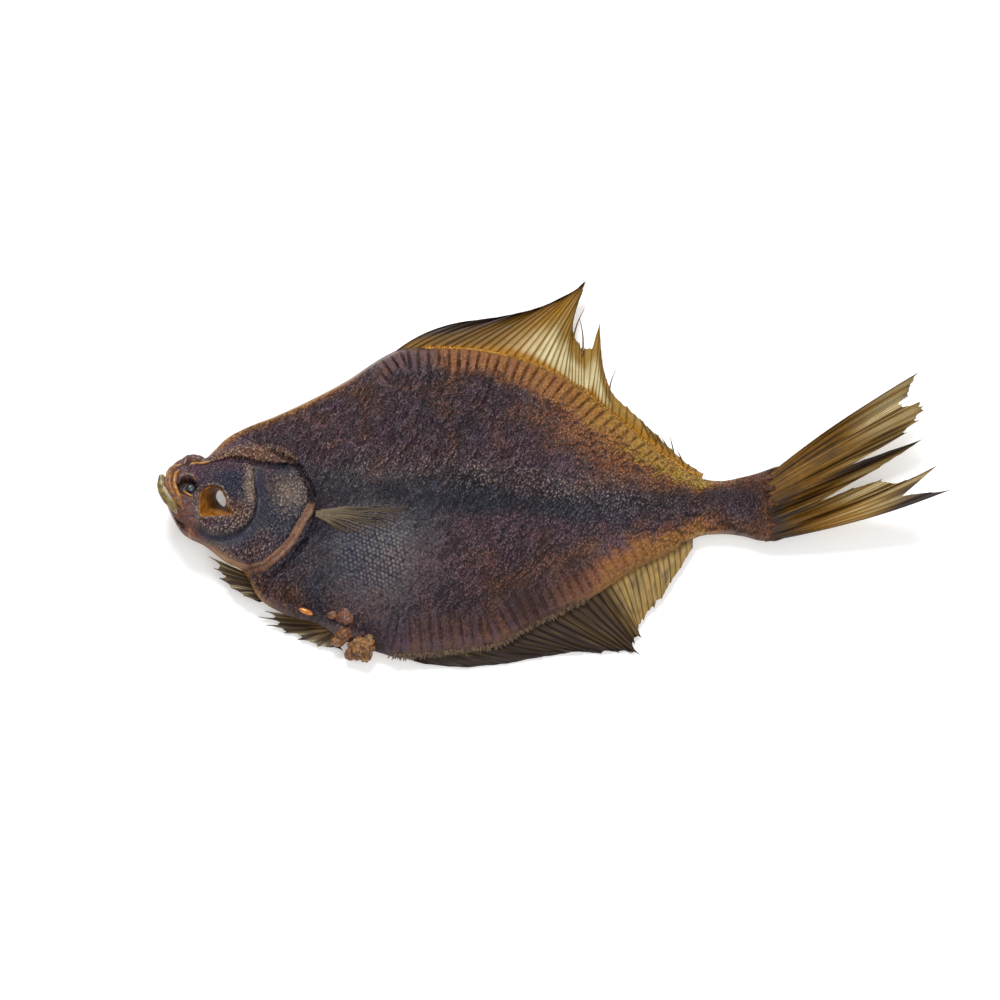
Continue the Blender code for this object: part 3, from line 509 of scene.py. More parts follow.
PALE_SPOTS = (
    (47.5, -4.5, 6.5, 6.5, 0, 1.35), (40, -20, 7, 6, 30, 0.3), (59, 3, 5, 5, 0, 0.35), (81, -25, 12, 16, 0, 0.6),
    (118, 4, 22, 6, -4, 0.4), (150, -1, 22, 5, -6, 0.3), (85, 8, 12, 6, 0, 0.25), (102.5, 41.6, 2.0, 1.6, 0, 0.7),
    (86.7, 14.5, 0.9, 0.7, 0, 2.5), (91.2, 14.0, 0.8, 0.7, 0, 2.5), (14, -9, 3, 7, 0, 0.4),
    (27, 1, 7, 5, 0, -0.32), (44, 7.5, 5, 3, 0, -0.4), (40, -9, 3.4, 6, 0, -0.3), (220, -4, 7, 14, 0, -0.3),
)


def landmarks(x, y):
    """The rims, the signed distances from the lines of the eyed side and the masks they cut, by name."""
    back, belly = through(BACK_RIM, x), through(BELLY_RIM, x)
    gill, membrane = to_line(x, y, GILL_EDGE)[0], to_line(x, y, MEMBRANE_EDGE)[0]
    head = 1 - rise(gill, -0.3, 0.3)
    eye = np.hypot((x - LOW_EYE[0]) / LOW_EYE_SIZE[0], (y - LOW_EYE[1]) / LOW_EYE_SIZE[1])
    return {
        "back": back,
        "belly": belly,
        "inside": 1 - np.abs(np.clip((2 * y - back - belly) / (back - belly), -1, 1)),
        "gill": gill,
        "membrane": membrane,
        "head": head * rise(x, 11, 15),
        "trunk": rise(gill, 0.5, 6.0),
        "front": rise(x, 13, 24),
        "snout": 1 - rise(x + 0.25 * y, 9.5, 13),
        "band": rise(gill, -0.2, 0.3) * rise(-membrane, -0.2, 0.3) * (1 - rise(y, -8.5, -5.5)) * (1 - rise(gill, 3.2, 3.9)),
        "eye": eye,
        "socket": within(x, y, HIGH_SOCKET),
        "skull_edge": to_line(x, y, SKULL_EDGE)[0],
        "middle": to_line(x, y, LATERAL_LINE)[0],
        "calm": np.clip(spots(x, y, ((77, -25, 19, 20, 0, 1.3),)), 0, 1),
    }


def head_relief(x, y, at, settings):
    """Relief of the head and shares of its marks: bell-shaped ridges and grooves beside its lines."""
    gill, membrane, band, socket = at["gill"], at["membrane"], at["band"], at["socket"]
    step, front = settings.gill_step / MM, at["front"]
    below = 1 - rise(y, -8.5, -5.5)
    cover = rise(-gill, -0.25, 0.35) * (1 - rise(-gill, 7, 18))
    lines = noise(gill / 0.55, y / 9, seed=40)
    relief = step * front * (cover + 0.5 * band * (1 + 0.5 * lines))
    gap = ridge(gill - 1.2, 1.1) * (1 - band) * (1 - rise(-y, 20, 26)) * front
    relief = relief - step * 0.8 * gap
    relief = relief - 0.9 * ridge(membrane - 0.9, 0.9) * below * (1 - rise(gill, 7, 9))

    groove, cheek = to_line(x, y, CHEEK_GROOVE)[0], to_line(x, y, CHEEK_RIDGE)[0]
    hollow = np.where(groove < 0, ridge(groove, 0.9), ridge(groove, 2.9)) * at["head"]
    rim_share = np.where(cheek < 0, ridge(cheek, 2.8), ridge(cheek, 1.6)) * at["head"]
    relief = relief - 1.4 * hollow + 0.8 * rim_share
    cheek_line = ridge(cheek - 0.2, 1.5) * (1 - rise(-y, 5, 11)) * at["head"]
    skull = to_line(x, y, SKULL_BAND)[0]
    skull_end = 1 - rise(x, 49.0, 51.0)
    over = np.maximum(skull, 0) + np.maximum(-skull - 3.5, 0)
    skull_share = rise(at["skull_edge"], -0.3, 0.4) * ridge(over, 2.6) * skull_end * rise(x, 17, 23)
    under = ridge(at["skull_edge"] + 0.9, 0.8) * skull_end * rise(x, 24, 30)
    relief = relief + 1.2 * skull_share - 0.6 * under
    low_band = ridge(to_line(x, y, LOW_GRANULES)[0], 2.4) * at["head"]
    for line in CHEST_GROOVES:
        relief = relief - 0.7 * ridge(to_line(x, y, line)[0], 1.1)
    fold = to_line(x, y, GILL_FOLD)[0]
    relief = relief + 0.6 * (ridge(fold, 0.6) - ridge(fold - 1.2, 0.7))

    eye = at["eye"]
    relief = relief + 0.7 * ridge((eye - 1.2) * 3.5, 0.9) * rise(y - x * 0.2, -6, -3)
    relief = relief - LOW_EYE_DEPTH * (1 - rise(eye, 0.62, 1.02))
    crumbs = noise(x / 0.8, y / 0.8, seed=41)
    relief = relief + (0.65 + 0.55 * crumbs) * ridge(socket + 0.6, 0.75)
    relief = relief + 0.3 * at["snout"] * cloudy(x, y, 1.8, 2, seed=5)
    # Marks for the colours: gap and under place painted shade in the gap behind the gill cover, under the skull edge
    # and along the cheek groove's and membrane's edges; rough and tan place pale grains, partly painted highlight on
    # the ridges and the socket's rim.
    marks = {
        "gap": gap,
        "hollow": hollow,
        "under": under + 0.8 * (ridge(groove + 0.7, 0.5) + ridge(membrane - 0.9, 0.7) * below * (1 - rise(gill, 7, 9))),
        "rough": 1.0 * rim_share + 0.9 * skull_share + 0.55 * low_band + 1.0 * ridge(socket + 0.6, 0.9),
        "lines": lines * band,
        "skull": skull_share,
        "tan": cheek_line * (0.75 + 0.5 * crumbs) + 0.8 * ridge(socket + 0.45, 0.6) * (0.6 + 0.6 * crumbs),
    }
    return relief, marks


def rib_relief(x, y, settings):
    """Relief of the fin supports: flat-topped bars square to each rim with narrow grooves between them."""
    relief, grooves, bands = np.zeros(np.shape(x)), np.zeros(np.shape(x)), []
    for rim, inward, length_share, strength, seed in ((BACK_RIM, -1, 1.0, 1.0, 11), (BELLY_RIM, 1, 1.2, 0.5, 14)):
        distance, along = to_line(x, y, rim_line(rim))
        depth = distance * inward
        pace = along / (settings.rib_pitch / MM) + 0.05 * noise(depth / 3, along / 9, seed=seed)
        turn = np.cos(2 * math.pi * pace)
        uneven = scatter([np.floor(pace + 0.5)], seed + 3) - 0.5
        reach = settings.rib_band / MM * length_share * (1 - 0.35 * rise(x, 145, 180)) + 3.0 * uneven
        fading = rise(depth, 0.8, 2.0) * (1 - rise(depth, reach - 7.0 * length_share, reach))
        fading = fading * rise(x, RIB_START, RIB_START + 8) * (1 - 0.7 * rise(x, RIB_END - 14, RIB_END + 2))
        own = 0.75 + 0.5 * scatter([np.floor(pace + 0.5)], seed + 2)
        relief = relief + strength * fading * own * np.clip(turn * 2.8 + 1.9, -1, 1)
        relief = relief + 0.45 * fading * noise(along / 0.8, depth / 2.6, seed=seed + 4)
        # The grooves' share is used again as painted shade in the grooves between the bars.
        grooves = grooves + fading * rise(-turn, 0.5, 0.95) * own * strength
        bands.append((depth, fading, along, pace))
    return settings.rib_height / MM * relief, grooves, bands


def grained(x, y, turn, long, pitch, jitter, seed):
    """Grains drawn out along one direction: their domes, the gaps between them and a share of their own."""
    u = (x * math.cos(turn) + y * math.sin(turn)) / long
    v = -x * math.sin(turn) + y * math.cos(turn)
    near, own = grains(u, v, pitch, jitter, seed)
    return np.stack([np.clip(1 - (near / 0.52) ** 2, 0, 1), rise(near, 0.36, 0.62), own])


def rough_texture(x, y, at, ribs, settings):
    """Grains and wrinkles of the eyed side.

    Each zone has its own direction, fixed so that wrinkles run straight: steep on the front of the back,
    slanting behind the belly and nearly level towards the tail. Masks blend the zones.
    """
    pitch = settings.granule_pitch / MM
    bent_x = x + 0.5 * noise(x / 6, y / 6, seed=28)
    bent_y = y + 0.5 * noise(x / 6, y / 6, seed=29)
    rear = rise(x + 0.3 * y, 128, 158)
    low = (1 - rise(y + 0.1 * x, 0, 14)) * (1 - rear)
    high = np.clip(1 - rear - low, 0, 1)
    fields = (
        (high, 1.08, 1.4, 0.82 * pitch, 0.75, 31), (low, 0.72, 1.3, 0.85 * pitch, 0.7, 34),
        (rear, 0.15, 1.2, 0.88 * pitch, 0.65, 37),
    )
    smooth = 1 - at["calm"]
    fine = at["head"] + (1 - at["trunk"]) * (1 - at["head"])
    body = sum(w * grained(bent_x, bent_y, *row) for w, *row in fields)
    patch = grained(bent_x, bent_y, 0.65, 1.0, pitch, 0.3, 44)
    dots = grained(x, y, 0.4, 1.0, 0.62 * pitch, 0.7, 47)
    dome, gap, own = (body * smooth + patch * at["calm"]) * (1 - fine) + dots * fine
    wrinkle = sum(w * (0.5 * streaks(bent_x, bent_y, turn, 3.0, 0.95, seed=25 + k)
                       + 0.5 * streaks(bent_x, bent_y, turn + 0.35, 1.5, 0.7, seed=55 + k))
                  for k, (w, turn, *_) in enumerate(fields))
    rough = (1 - 0.8 * at["calm"]) * (0.3 + 0.7 * at["trunk"]) * (1 - 0.75 * np.clip(ribs, 0, 1))
    folds = np.clip(spots(x, y, ((98, 14, 16, 10, 30, 1.0), (84, 20, 12, 10, 0, 0.5), (104, -28, 14, 16, 0, 0.6))), 0, 1)
    above = rise(y, -11, -5)
    steep = streaks(bent_x, bent_y, 1.02, 7.0, 1.6, seed=58) * above
    steep = steep + streaks(bent_x, bent_y, 0.75, 7.0, 1.5, seed=59) * (1 - above)
    relief = settings.wrinkle_height / MM * (0.8 * wrinkle * rough + 1.25 * steep * folds)
    fold = (0.25 + 0.75 * high + 0.45 * low) * rough * at["trunk"]
    # The gaps and the wrinkle value also go to the colour, as painted shade between the grains and in the wrinkle
    # valleys.
    return relief, dome, gap, own, wrinkle * rough + 0.8 * steep * folds, fold


def eyed_skin(x, y, settings):
    """Height and colour shares of the eyed side: the smooth crown plus the relief of each feature."""
    at = landmarks(x, y)
    edge = rise(at["inside"], 0.0, 0.10)
    relief, marks = head_relief(x, y, at, settings)
    ribs, grooves, bands = rib_relief(x, y, settings)
    banded = np.clip(bands[0][1] + bands[1][1], 0, 1)
    relief = relief + ribs

    # Belly fold, backbone and creases.
    gill, trunk, middle, snout = at["gill"], at["trunk"], at["middle"], at["snout"]
    belly_fold = to_line(x, y, BELLY_FOLD)[0]
    belly_inside = rise(-belly_fold, -1.5, 5.5) * rise(gill, 2.5, 8.0) * (1 - rise(y, -8, 2))
    relief = relief - 1.1 * belly_inside + 0.5 * ridge(belly_fold - 3.0, 4.0) * (1 - rise(y, -14, -4))
    relief = relief + 0.9 * ridge(middle, 5.0) * rise(x, 60, 90) * (1 - rise(x, 205, 222))
    creases = sum(ridge(to_line(x, y, line)[0], 0.6) for line in BACK_CREASES)
    relief = relief - 0.5 * creases + 0.35 * cloudy(x, y, 11, 2, seed=27) * trunk

    # Wrinkles and grains.
    waves, dome, gaps, own, wrinkle, fold = rough_texture(x, y, at, banded, settings)
    pale = np.clip(spots(x, y, PALE_SPOTS), -0.4, 2.4) + marks["rough"]
    pale = pale + 0.45 * ridge(middle - 1.0, 5.5) * rise(x, 58, 70) * (1 - rise(x, 190, 220))
    rough = (1 - 0.6 * banded) * (1 - 0.85 * marks["hollow"]) * (1 - 0.6 * at["band"]) * (1 - 0.7 * snout)
    rough = rough * (1 - 0.5 * np.clip(marks["tan"], 0, 1)) * (1 - 0.25 * spots(x, y, ((47.5, -4.5, 5, 5, 0, 1),)))
    rough = rough * (1 - 0.25 * rise(x, 199, 214))
    grain = dome * (0.3 + 0.7 * own) * rough
    relief = relief + waves + settings.granule_height / MM * grain * (0.75 + 0.5 * np.clip(pale, 0, 1))

    # Colour shares.
    slate = np.clip(spots(x, y, SLATE_SPOTS) + 0.3 * cloudy(x, y, 9, 4, seed=51), 0, 1)
    warm = spots(x, y, WARM_SPOTS) + 0.13 * cloudy(x, y, 8, 4, seed=52)
    gilded = (((92, 0.55), (120, 0.74), (150, 0.86), (190, 0.95)), ((92, 0.1), (146, 0.22), (156, 0.74), (190, 0.8)))
    for (depth, fading, along, pace), lengths, gilt, stops in zip(bands, ((10.5, 13.5, 10.5, 5.5), (15.0, 10.0, 8.5, 4.5)), gilded, (
            ((74, 0.05), (97, 0.12), (102, 0.48), (120, 0.56), (138, 0.65), (156, 0.76), (170, 0.9), (190, 1.0)),
            ((84, 0.04), (120, 0.12), (138, 0.16), (152, 0.34), (162, 0.66), (180, 0.74), (200, 0.66)))):
        uneven = scatter([np.floor(pace + 0.5)], 59) - 0.5
        reach = np.interp(x, (74, 140, 175, 200), lengths) + 1.6 * cloudy(x, y, 3, 3, seed=53) + 1.6 * uneven
        zone = (1 - rise(depth, reach - 3.6, reach + 1.6)) * rise(x, 74, 82) * (1 - rise(x, 194, 202))
        tone = np.interp(x, *np.array(stops).T) + 0.07 * cloudy(x, y, 2, 2, seed=54)
        tone = tone + 0.12 * (scatter([np.floor(pace + 0.5)], 56) - 0.5)
        warm = warm * (1 - zone) + zone * tone
        slate = slate * (1 - zone * rise(x, 96, 110))
        line = ridge(depth - 0.9, 1.7) * rise(x, 92, 106)
        warm = np.maximum(warm, line * np.interp(x, *np.array(gilt).T))
    warm = np.maximum(warm, 0.26 * marks["skull"] + 0.22 * marks["tan"])
    warm = warm + 0.3 * spots(x, y, ((47, -5, 7, 7, 0, 1.3), (30, -12, 5, 5, 0, 0.8))) * at["head"]
    margin = (1 - rise(at["back"] - y, 1.8, 6.4)) * rise(x, 16, 24) * (1 - rise(x, 62, 80))
    warm = np.maximum(warm, (0.82 - 0.3 * rise(x, 40, 76)) * margin * (1 + 0.15 * noise(x / 3, y / 3, seed=55)))
    low_edge = ridge(at["belly"] - y, 1.8) * (1 - rise(x, 36, 44)) * rise(x, 14, 22)
    warm = np.maximum(warm, 0.72 * low_edge)
    warm = np.maximum(warm, at["band"] * (0.3 + 0.26 * marks["lines"] + 0.12 * noise(x / 2.6, y / 2.6, seed=57)))
    warm = np.maximum(warm, snout * (0.14 + 0.2 * noise(x / 2.2, y / 1.1, seed=58)))
    slate = np.clip(slate + marks["hollow"], 0, 1) * (1 - 0.8 * marks["tan"].clip(0, 1)) * (1 - 0.9 * at["band"]) * (1 - snout) * (1 - margin) * (1 - 0.7 * marks["skull"])
    # Dark share: the skin's own dark spots and darker end towards the tail, plus painted shade in the gap behind the
    # gill cover, under the skull edge, along the cheek groove's and membrane's edges, in the rib grooves, creases,
    # wrinkle valleys and gaps between grains, in the sunken eye and at the empty socket's rim; dark streaks also run
    # along the membrane band.
    dark = np.clip(spots(x, y, DARK_SPOTS), 0, 1)
    dark = dark + 0.9 * marks["gap"] + 0.7 * marks["under"] + 0.85 * grooves + 0.6 * creases
    dark = dark + 0.75 * rise(-wrinkle, 0.05, 0.45) * (1 - 0.6 * margin) + (0.25 + 0.5 * at["calm"]) * gaps * rough
    dark = dark + 0.7 * at["band"] * rise(-marks["lines"], 0.1, 0.6) + 0.2 * rise(x, 203, 216)
    dark = dark + 0.9 * (1 - rise(at["eye"], 0.7, 1.2)) + 0.9 * rise(at["socket"], 0.0, 0.6)
    calm = at["calm"]
    # Paleness of the grain tips, partly their own colour and partly painted highlight, raised on the ridges and the
    # socket's rim.
    level = np.clip(0.3 + 0.75 * pale, 0, 1) * (1 - 0.9 * marks["hollow"]) * (1 - 0.55 * banded)
    level = level * (1 - 0.6 * at["band"]) * (1 - 0.75 * snout) + 0.8 * marks["tan"]
    level = level * (1 - 0.65 * np.clip(spots(x, y, DARK_SPOTS), 0, 1)) * (1 - 0.85 * margin)
    shares = {
        "warm": np.clip(warm, 0, 1),
        "slate": slate,
        "pale_grain_and_highlight": np.clip(level * (1 - calm + calm * dome**1.5 * (0.4 + 0.6 * own))
                           + at["band"] * (0.06 + 0.34 * rise(marks["lines"] + 0.4 * noise(x / 3, y / 3, seed=61), 0.0, 0.6)), 0, 1),
        "dark_spots_and_shade": np.clip(dark, 0, 1),
        "rough": np.clip(rough * (1 - 0.85 * calm) * edge, 0, 1),
        "fold": np.clip(fold * edge, 0, 1),
    }
    height = smooth_eyed(x, y) + relief * edge
    # Towards the tail fin the skin thins evenly down to the rays before it ends.
    thinned = 0.72 * rise(x, 203, 219)
    height = height - thinned * (height - MARGIN_HEIGHT - lift(x))
    under_fin = skin_end(x, y)
    floor_height = MARGIN_HEIGHT + lift(x) + 0.15 - TAIL_TUCK * rise(x, TAIL_SKIN_SINK, TAIL_SKIN_SINK + 4)
    return np.maximum(height - 1.3 * under_fin * edge, floor_height * edge + height * (1 - edge)), shares


def skin_end(x, y):
    """How far the skin has sunk into the root of the tail fin, in tongues that run along the rays."""
    return rise(x + 1.0 + 2.4 * noise(y / 1.1, x / 12, seed=60), 217.0, 221.0)


def blind_skin(x, y, settings):
    """Height and colour shares of the blind side: flat on the table in the middle, wrinkled near the rim."""
    back, belly = through(BACK_RIM, x), through(BELLY_RIM, x)
    across = np.abs(np.clip((2 * y - back - belly) / (back - belly), -1, 1))
    crown = (1 - across**BLIND_FULLNESS) ** 0.8
    height = MARGIN_HEIGHT + lift(x) - through(RIM_THICKNESS, x) / 2 * rise(1 - across, 0.0, 0.05)
    height = height - through(BLIND_DEPTH, x) * crown
    near, own = grains(x, y, settings.granule_pitch / MM * 1.15, 0.5, seed=71)
    dome = np.clip(1 - (near / 0.48) ** 2, 0, 1) * (0.3 + 0.7 * own)
    wrinkle = streaks(x, y, 1.2, 5.0, 1.6, seed=72)
    ribs, grooves = np.zeros(np.shape(x)), np.zeros(np.shape(x))
    for rim, inward in ((BACK_RIM, -1), (BELLY_RIM, 1)):
        distance, along = to_line(x, y, rim_line(rim))
        depth = distance * inward
        fading = rise(depth, 0.4, 2.0) * (1 - rise(depth, 10, 13)) * rise(x, 74, 86) * (1 - rise(x, 170, 186))
        phase = along / (settings.rib_pitch / MM) * 2 * math.pi
        ribs = ribs + fading * np.clip(np.cos(phase) * 1.5 + 0.3, -1, 1)
        grooves = grooves + fading * rise(-np.cos(phase), 0.5, 0.95)
    raised = 0.16 * dome + 0.2 * wrinkle + 0.4 * ribs
    edge = rise(1 - across, 0.0, 0.1)
    height = np.maximum(height - raised * edge, 0.02 * (1 - dome))
    sunk = skin_end(x, y)
    middle = MARGIN_HEIGHT + lift(x) - TAIL_TUCK * rise(x, TAIL_SKIN_SINK, TAIL_SKIN_SINK + 4)
    height = height * (1 - sunk) + (middle - 0.06) * sunk
    warm = 0.35 + 0.3 * cloudy(x, y, 14, 3, seed=73) + 0.35 * ridge(1 - across, 0.16)
    # Colours: the dark share is painted shade in the rib grooves, wrinkle valleys and gaps between grains, and darker
    # towards the tail end; the pale share on the grain domes is partly painted highlight.
    shares = {
        "warm": np.clip(warm, 0, 1),
        "slate": np.clip(0.2 * cloudy(x, y, 9, 2, seed=74), 0, 1),
        "pale_grain_and_highlight": np.clip(dome * 0.6, 0, 1),
        "dark_spots_and_shade": np.clip(0.6 * grooves + 0.5 * rise(-wrinkle, 0.1, 0.7) + 0.2 * rise(near, 0.4, 0.6)
                          + 0.7 * rise(x, 205, 221), 0, 1),
        "rough": 0.6 + 0 * x,
        "fold": 0.3 + 0 * x,
    }
    return height, shares


def to_row(points):
    """Points of the working frame in the frame's metres."""
    return (np.asarray(points, float).reshape(-1, 3) - ORIGIN) * MM


def tube_faces(batch, rings, around, flat_ends=False):
    """Quads round each of several closed tubes. An end is a fan to its middle, or a strip if it is flat."""
    size = rings * around + (0 if flat_ends else 2)
    ring = np.arange(rings * around).reshape(rings, around)
    after = np.roll(ring, -1, axis=1)
    quads = np.stack([ring[:-1], after[:-1], after[1:], ring[1:]], axis=-1).reshape(-1, 4)
    if flat_ends:
        k = np.arange(around // 2 - 1)
        strip = np.stack([k, around - 1 - k, around - 2 - k, k + 1], axis=-1)
        quads = np.concatenate([quads, strip, (strip + (rings - 1) * around)[:, ::-1]])
        fans = np.zeros((0, 3), int)
    else:
        low, high = np.full(around, size - 2), np.full(around, size - 1)
        fans = np.concatenate([np.stack([after[0], ring[0], low], axis=-1),
                               np.stack([ring[-1], after[-1], high], axis=-1)])
    shift = np.arange(batch)[:, None, None] * size
    return (quads[None] + shift).reshape(-1, 4), (fans[None] + shift).reshape(-1, 3)


def closed_tubes(name, grid, shares, material, flat_ends=False):
    """One piece from a grid of tubes x rings x points round: closed ends, faces outwards, float shares."""
    batch, rings, around, _ = grid.shape
    flat = {key: np.broadcast_to(value, grid.shape[:3]) for key, value in shares.items()}
    stack = np.concatenate([grid] + [v[..., None] for v in flat.values()], axis=-1)
    rows = stack.reshape(batch, rings * around, -1)
    if not flat_ends:
        ends = [stack[:, 0].mean(axis=1)[:, None], stack[:, -1].mean(axis=1)[:, None]]
        rows = np.concatenate([rows] + ends, axis=1)
    rows = rows.reshape(-1, rows.shape[-1])
    quads, fans = tube_faces(batch, rings, around, flat_ends)
    points = to_row(rows[:, :3])
    a, b, c, d = (points[quads[:, k]] for k in range(4))
    volume = np.einsum("ij,ij->", a, np.cross(b, c)) + np.einsum("ij,ij->", a, np.cross(c, d))
    if volume < 0:
        quads, fans = quads[:, ::-1], fans[:, ::-1]
    mesh = bpy.data.meshes.new(name)
    mesh.from_pydata(points.tolist(), [], quads.tolist() + fans.tolist())
    for k, key in enumerate(flat):
        layer = mesh.attributes.new(key, "FLOAT", "POINT")
        layer.data.foreach_set("value", rows[:, 3 + k].astype(np.float32))
    return dressed(name, mesh, material)


def dressed(name, mesh, material):
    """A smooth-shaded object of the mesh that rides on the fish and stands for its solid."""
    mesh.materials.append(material)
    mesh.shade_smooth()
    mesh.set_sharp_from_angle(angle=SHARP_ANGLE)
    obj = bpy.data.objects.new(name, mesh)
    bpy.context.scene.collection.objects.link(obj)
    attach(obj, "root")
    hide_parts(NODE)
    return obj


def columns_across(count):
    """Places from the belly rim at -1 to the back rim at 1, a little closer together near the rims."""
    even = np.linspace(-1, 1, count)
    return 0.75 * even - 0.25 * np.cos(np.linspace(0, math.pi, count))


def skin_loft(name, start, end, stations, columns, surface, settings, material, tuck=0.0):
    """A stretch of skin as a loft: each section is the surface from rim to rim and a flat floor back.

    A later stretch starts under the end of the one before it and comes level where that one ends.
    """
    x = np.repeat(np.linspace(start, end, stations)[:, None], columns, axis=1)
    narrow = 1.3 * rise(x, TAIL_SKIN_SINK + 2, TAIL_SKIN_END)
    back, belly = through(BACK_RIM, x) - narrow, through(BELLY_RIM, x) + narrow
    y = (back + belly) / 2 + columns_across(columns) * (back - belly) / 2
    z, shares = surface(x, y, settings)
    z = z - tuck * (1 - rise(x, start + MEETING, start + 2 * MEETING))
    floor_share = np.array([0.7, 0.2, -0.4, -0.85])
    floor_x = np.repeat(x[:, :1], len(floor_share), axis=1)
    floor_y = (y[:, -1:] + y[:, :1]) / 2 + floor_share * (y[:, -1:] - y[:, :1]) / 2
    floor_z = MARGIN_HEIGHT + lift(floor_x) - TAIL_TUCK * rise(floor_x, TAIL_SKIN_SINK, TAIL_SKIN_SINK + 4)
    grid = np.concatenate([np.stack([x, y, z], axis=-1), np.stack([floor_x, floor_y, floor_z], axis=-1)], axis=1)
    filler = np.zeros(floor_x.shape)
    shares = {key: np.concatenate([value, filler], axis=1)[None] for key, value in shares.items()}
    return closed_tubes(name, grid[None], shares, material)


def loop_tube(outline_top, outline_bottom, top, bottom, share, grow):
    """A closed funnel between two outlines of as many knots: the outline and height at each share."""
    share = np.asarray(share, float)[:, None, None]
    upper, lower = np.array(outline_top, float), np.array(outline_bottom, float)
    flat = (1 - share) * upper + share * lower
    away = flat - flat.mean(axis=1, keepdims=True)
    flat = flat + grow * away / np.linalg.norm(away, axis=-1, keepdims=True)
    height = top + (bottom - top) * share[..., 0] + 0 * flat[..., 0]
    return np.concatenate([flat, height[..., None]], axis=-1)


def cut_socket(skin):
    """Opens the empty socket through a piece of skin, with a funnel as a cutter that is then removed."""
    funnel = loop_tube(HIGH_SOCKET, HIGH_SLIT, SOCKET_TOP, SOCKET_BOTTOM, (0, 0, 1), 0.12)
    funnel[0, :, 2] += 3.0
    quads, fans = tube_faces(1, len(funnel), len(HIGH_SOCKET))
    points = np.concatenate([funnel.reshape(-1, 3), funnel[0].mean(0)[None], funnel[-1].mean(0)[None]])
    mesh = bpy.data.meshes.new("socket_cutter")
    mesh.from_pydata(to_row(points).tolist(), [], quads.tolist() + fans.tolist())
    cutter = bpy.data.objects.new("socket_cutter", mesh)
    bpy.context.scene.collection.objects.link(cutter)
    modifier = skin.modifiers.new("socket", "BOOLEAN")
    modifier.operation, modifier.solver, modifier.object = "DIFFERENCE", "MANIFOLD", cutter
    graph = bpy.context.evaluated_depsgraph_get()
    cut = bpy.data.meshes.new_from_object(skin.evaluated_get(graph), preserve_all_data_layers=True, depsgraph=graph)
    if not len(cut.polygons):
        raise RuntimeError("the socket was not cut")
    skin.modifiers.clear()
    skin.data = cut
    cut.set_sharp_from_angle(angle=SHARP_ANGLE)
    bpy.data.objects.remove(cutter)


SHARP_ANGLE = math.radians(75)
SOCKET_TOP = float(smooth_eyed(np.array(20.0), np.array(-8.0))) - 0.8
SOCKET_BOTTOM = MARGIN_HEIGHT + float(lift(np.array(22.5))) - 8.0


def bow_points(roots, tips, bow):
    """Roots, middles and tips of quadratic curves."""
    roots, tips, bow = (np.array(a, float) for a in (roots, tips, bow))
    return roots, (roots + tips) / 2 + bow, tips


def fin_sheet(name, curves, webs, ridges, rows, looks, settings, material, thick=1.0, ragged=0.02, seed=0,
              per_ray=8):
    """A dried fin as one closed sheet.

    Its middle is a function of the share along the rays and the place across them: a quadratic curve
    blended from the two rays beside it. The web stops short of the tips by a power of the distance from
    the rays, sags between them, and the thickness is the web's plus a bell curve on each ray.
    """
    gaps, per = len(curves[0]) - 1, per_ray * ridges
    column = np.append((np.arange(gaps)[:, None] + np.arange(per) / per).ravel(), gaps)
    gap = np.minimum(np.floor(column).astype(int), gaps - 1)
    share = column - gap
    root, middle, tip = (c[gap] * (1 - share[:, None]) + c[gap + 1] * share[:, None] for c in curves)
    steps = [c[gap + 1] - c[gap] for c in curves]
    kept = np.asarray(webs, float)[gap]
    reach = 1 - (1 - kept) * (1 - np.abs(2 * share - 1) ** np.where(kept < NOTCH, 1.0, 4.0))
    reach = reach - ragged * (1 + noise(column * 5.3, seed=seed + 3)) * (1 - np.abs(2 * share - 1) ** 8)
    u = np.linspace(0, 1, rows)[:, None]
    s = (u * reach)[..., None]
    points = (1 - s) ** 2 * root + 2 * s * (1 - s) * middle + s**2 * tip
    width = np.linalg.norm((1 - s) ** 2 * steps[0] + 2 * s * (1 - s) * steps[1] + s**2 * steps[2], axis=-1)
    off_ray = np.abs((share * ridges + 0.5) % 1 - 0.5) / ridges * width
    strength = np.where(np.abs((share * ridges + 0.5) // 1 % ridges) < 0.5, 1.0, 0.72)
    ray_width = settings.ray_width / MM * (1.15 - 0.55 * u) * (0.85 + 0.3 * noise(column * ridges, 0 * column, seed=seed))
    ray = ridge(off_ray, ray_width) * strength
    half = thick * (settings.web_thickness / MM / 2 + settings.ray_height / MM * (1 - 0.62 * u) * ray)
    sag = settings.sag / MM * np.minimum(width / 3, 1) * (1 - ray)
    loose = 0.5 * u * noise(column * 1.7, 3 * u + 0 * column, seed=seed + 5) * np.minimum(width, 1.5)
    centre = points[..., 2] - sag + loose
    top = np.stack([points[..., 0], points[..., 1], np.maximum(centre + half, 0.12)], axis=-1)
    bottom = np.stack([points[..., 0], points[..., 1], np.maximum(centre - half, 0.02)], axis=-1)
    grid = np.concatenate([top, bottom[:, ::-1]], axis=1)
    shares = dict(looks(column / gaps, u * reach, points[..., 0], points[..., 1]), ray=ray)
    shares = {key: np.broadcast_to(value, ray.shape) for key, value in shares.items()}
    shares = {key: np.concatenate([value, value[:, ::-1]], axis=1)[None] for key, value in shares.items()}
    return closed_tubes(name, grid[None], shares, material, flat_ends=True)


